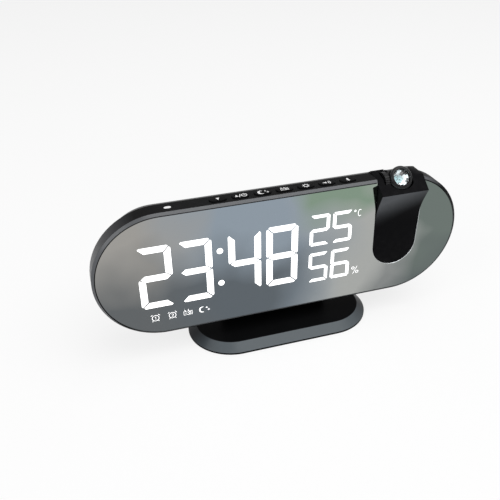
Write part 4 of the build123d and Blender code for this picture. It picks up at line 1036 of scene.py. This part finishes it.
def make_reflector():
    """The polished seat behind the lens, ground in facets, with dark plastic on its low facets as painted
    shade in the lens glints, and the dark digits on the time slide.
    """
    crest, ledge = 3.0, 2.6
    seat = [(1.8, 1.98), (crest, ledge), (4.3, 3.12), (4.3, 2.95), (3.05, 2.93), (2.95, 2.3), (1.86, 1.9),
            (1.8, 1.98)]
    cup = lathe("lens_seat", [(radius * MM, height * MM) for radius, height in seat], 30)
    for vertex in cup.data.vertices:
        if abs(vertex.co.z - ledge * MM) < 0.01 * MM:
            vertex.co.z += STAR_HEIGHT * star(vertex.co)
    cup.data.materials.append(finish("cup"))
    cup.data.materials.append(finish("ring"))
    for face in cup.data.polygons:
        face.use_smooth = False
        # painted shade: low facets, most on the upper left, get the dark ring plastic
        least = BRIGHT_OUTSIDE if face.center.xy.length > crest * MM else BRIGHT_INSIDE
        face.material_index = 0 if star(face.center) > least else 1
    cup.data.transform(AIMED)
    settle(cup, "cup", POD_BODY)
    outlines = []
    for i, sign in enumerate("2348"):
        outlines += digit_outlines(sign, -1.75 + 0.92 * i, -0.8, *SLIDE_DIGIT)
    on_slide = AIMED @ Matrix.Translation((0, 0, SLIDE_FACE))
    made = plates("slide_digits", scaled(outlines, 0, 0, MM), "chip", on_slide, 0.02 * MM)
    settle(made, "chip", POD_BODY)


class CLOCK_OT_keys(bpy.types.Operator):
    """Dress the top keys, print their marks and fit the light sensor's window"""

    bl_idname = "clock.keys"
    bl_label = "Top keys"

    def execute(self, context):
        for node, sign in KEY_SIGNS.items():
            dressed(node, "keys", node)
            low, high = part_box(node)
            spot = Matrix.Translation(((low.x + high.x) / 2, KEY_MIDDLE * MM, high.z + 0.005 * MM))
            lines = scaled(sign, 0, 0, KEY_SIGN_SIZE * MM)
            made = strokes(node + "_mark", lines, "print", spot, PRINT_HALF, PRINT_RELIEF)
            settle(made, "print", node)
        dressed("sensor_window", "sensor")
        repaint("white", "key_plungers")
        repaint("chip", "key_switches")
        repaint("board", "key_board")
        repaint("sensor", "light_sensor")
        return {"FINISHED"}


class CLOCK_OT_rear(bpy.types.Operator):
    """Dress the rear cover, its door, sockets and screws"""

    bl_idname = "clock.rear"
    bl_label = "Rear cover"

    def execute(self, context):
        size = sizes()
        dressed("rear_cover", "cover", edge=size.fine_round)
        dressed("battery_door", "cover", "battery_door", edge=size.fine_round)
        dressed("usb_socket", "steel")
        repaint("cover", "power_jack")
        repaint("steel", "power_jack_pin", "coin_cell")
        repaint("brass", "cell_contact")
        repaint("chip", "usb_tongue")
        screw_copies("cover_screws", "Y", 1)
        return {"FINISHED"}


class CLOCK_OT_stand(bpy.types.Operator):
    """Dress the base, the neck, the feet and the stand's screws"""

    bl_idname = "clock.stand"
    bl_label = "Stand"

    def execute(self, context):
        size = sizes()
        dressed("base_cover", "base", edge=size.case_round)
        dressed("stand_neck", "cover", edge=size.fine_round)
        dressed("base_plate", "cover")
        for corner in ("front_left", "rear_left", "front_right", "rear_right"):
            dressed("foot_" + corner, "rubber", edge=size.fine_round)
        screw_copies("stand_screws", "Z", -1)
        screw_copies("neck_screws", "Z", 1)
        repaint("screw", "base_weight")
        return {"FINISHED"}


class CLOCK_OT_inner_works(bpy.types.Operator):
    """Give the pieces inside the case their finishes"""

    bl_idname = "clock.inner_works"
    bl_label = "Inner works"

    def execute(self, context):
        repaint("white", "diffuser_film", "segment_reflector", "board_posts", "climate_sensor")
        repaint("signs", "segment_light_guides")
        repaint("board", "display_board", "main_board")
        repaint("sensor", "display_leds")
        repaint("chip", "main_chips", "board_link")
        repaint("steel", "clock_crystal")
        repaint("screw", "speaker_basket", "speaker_magnet")
        repaint("paper", "speaker_cone")
        return {"FINISHED"}


CAMERA_PLACE = Vector((-0.09766, -0.28026, 0.23210))
CAMERA_TARGET = Vector((-0.00014, 0.05654, 0.01442))
CAMERA_ROLL = math.radians(-1.130)
CAMERA_LENS = 44.33
FLOOR_REACH, FLOOR_GLOW = 6.0, 0.78
WORLD_FILL = 0.4                         # the world's strength for light that is not seen directly
SOFTBOXES = (("overhead_softbox", (0.30, -0.38, 1.15), 1.2, 11.0),
             ("side_softbox", (-1.1, -0.5, 0.7), 0.8, 4.0))


class CLOCK_OT_stage(bpy.types.Operator):
    """Set the floor, the lights, the world and the camera"""

    bl_idname = "clock.stage"
    bl_label = "Stage"

    def execute(self, context):
        make_floor()
        make_world()
        for softbox in SOFTBOXES:
            make_light(*softbox)
        make_camera()
        context.scene.view_settings.view_transform = "Standard"
        return {"FINISHED"}


def seen_rays(tree):
    """1 for rays from the camera, off a gloss or through glass."""
    path = add(tree, "ShaderNodeLightPath").outputs
    bent = maths(tree, "MAXIMUM", path["Is Glossy Ray"], path["Is Transmission Ray"])
    return maths(tree, "MAXIMUM", path["Is Camera Ray"], bent)


def make_floor():
    """A white floor just under the feet."""
    mesh = bpy.data.meshes.new("floor")
    corners = [(x * FLOOR_REACH, y * FLOOR_REACH, -0.1 * MM) for x, y in ((-1, -1), (1, -1), (1, 1), (-1, 1))]
    mesh.from_pydata(corners, [], [(0, 1, 2, 3)])
    floor = place_object("floor", mesh)
    material, tree, bsdf = new_material("Studio floor")
    feed(tree, bsdf, Base_Color=(0.92, 0.92, 0.92), Roughness=0.9, Specular_IOR_Level=0.0)
    glow = first_of(tree, "ShaderNodeEmission", {"Color": (1.0, 1.0, 1.0, 1.0), "Strength": 1.0})
    share = times(tree, seen_rays(tree), FLOOR_GLOW)
    both = first_of(tree, "ShaderNodeMixShader", {0: share, 1: bsdf.outputs[0], 2: glow})
    tree.links.new(both, tree.nodes["Material Output"].inputs["Surface"])
    mesh.materials.append(material)


def make_world():
    world = bpy.data.worlds.new("Studio")
    bpy.context.scene.world = world
    world.use_nodes = True
    tree = world.node_tree
    background = tree.nodes["Background"]
    background.inputs["Color"].default_value = (1.0, 1.0, 1.0, 1.0)
    tree.links.new(fitted(tree, seen_rays(tree), 1.0 - WORLD_FILL, WORLD_FILL), background.inputs["Strength"])


def make_light(name, place, size, power):
    data = bpy.data.lights.new(name, "AREA")
    data.size, data.energy = size, power
    light = bpy.data.objects.new(name, data)
    light.location = place
    light.rotation_euler = (Vector((0, 0, 0.05)) - Vector(place)).to_track_quat("-Z", "Y").to_euler()
    bpy.context.scene.collection.objects.link(light)


def make_camera():
    data = bpy.data.cameras.new("camera")
    data.lens, data.sensor_width = CAMERA_LENS, 36.0
    data.clip_start, data.clip_end = 0.01, 20.0
    camera = bpy.data.objects.new("camera", data)
    look = CAMERA_TARGET - CAMERA_PLACE
    turn = look.to_track_quat("-Z", "Y").to_matrix() @ Matrix.Rotation(CAMERA_ROLL, 3, "Z")
    camera.matrix_world = Matrix.Translation(CAMERA_PLACE) @ turn.to_4x4()
    bpy.context.scene.collection.objects.link(camera)
    bpy.context.scene.camera = camera


class CLOCK_PT_panel(bpy.types.Panel):
    """The clock's pieces and settings in the sidebar"""

    bl_label = "Projection alarm clock"
    bl_idname = "CLOCK_PT_panel"
    bl_space_type = "VIEW_3D"
    bl_region_type = "UI"
    bl_category = "Clock"

    def draw(self, context):
        for group in (context.scene.clock_sizes, context.scene.clock_colours):
            for name in group.__annotations__:
                self.layout.prop(group, name)
        for operator in OPERATORS:
            self.layout.operator(operator.bl_idname)


OPERATORS = (CLOCK_OT_front_frame, CLOCK_OT_mirror, CLOCK_OT_signs, CLOCK_OT_projector, CLOCK_OT_keys,
             CLOCK_OT_rear, CLOCK_OT_stand, CLOCK_OT_inner_works, CLOCK_OT_stage)
CLASSES = (ClockSizes, ClockColours, *OPERATORS, CLOCK_PT_panel)


def register():
    for item in CLASSES:
        bpy.utils.register_class(item)
    bpy.types.Scene.clock_sizes = PointerProperty(type=ClockSizes)
    bpy.types.Scene.clock_colours = PointerProperty(type=ClockColours)


def unregister():
    del bpy.types.Scene.clock_sizes
    del bpy.types.Scene.clock_colours
    for item in reversed(CLASSES):
        bpy.utils.unregister_class(item)


def main():
    register()
    for operator in OPERATORS:
        group, name = operator.bl_idname.split(".")
        getattr(getattr(bpy.ops, group), name)()


if __name__ == "__main__":
    main()
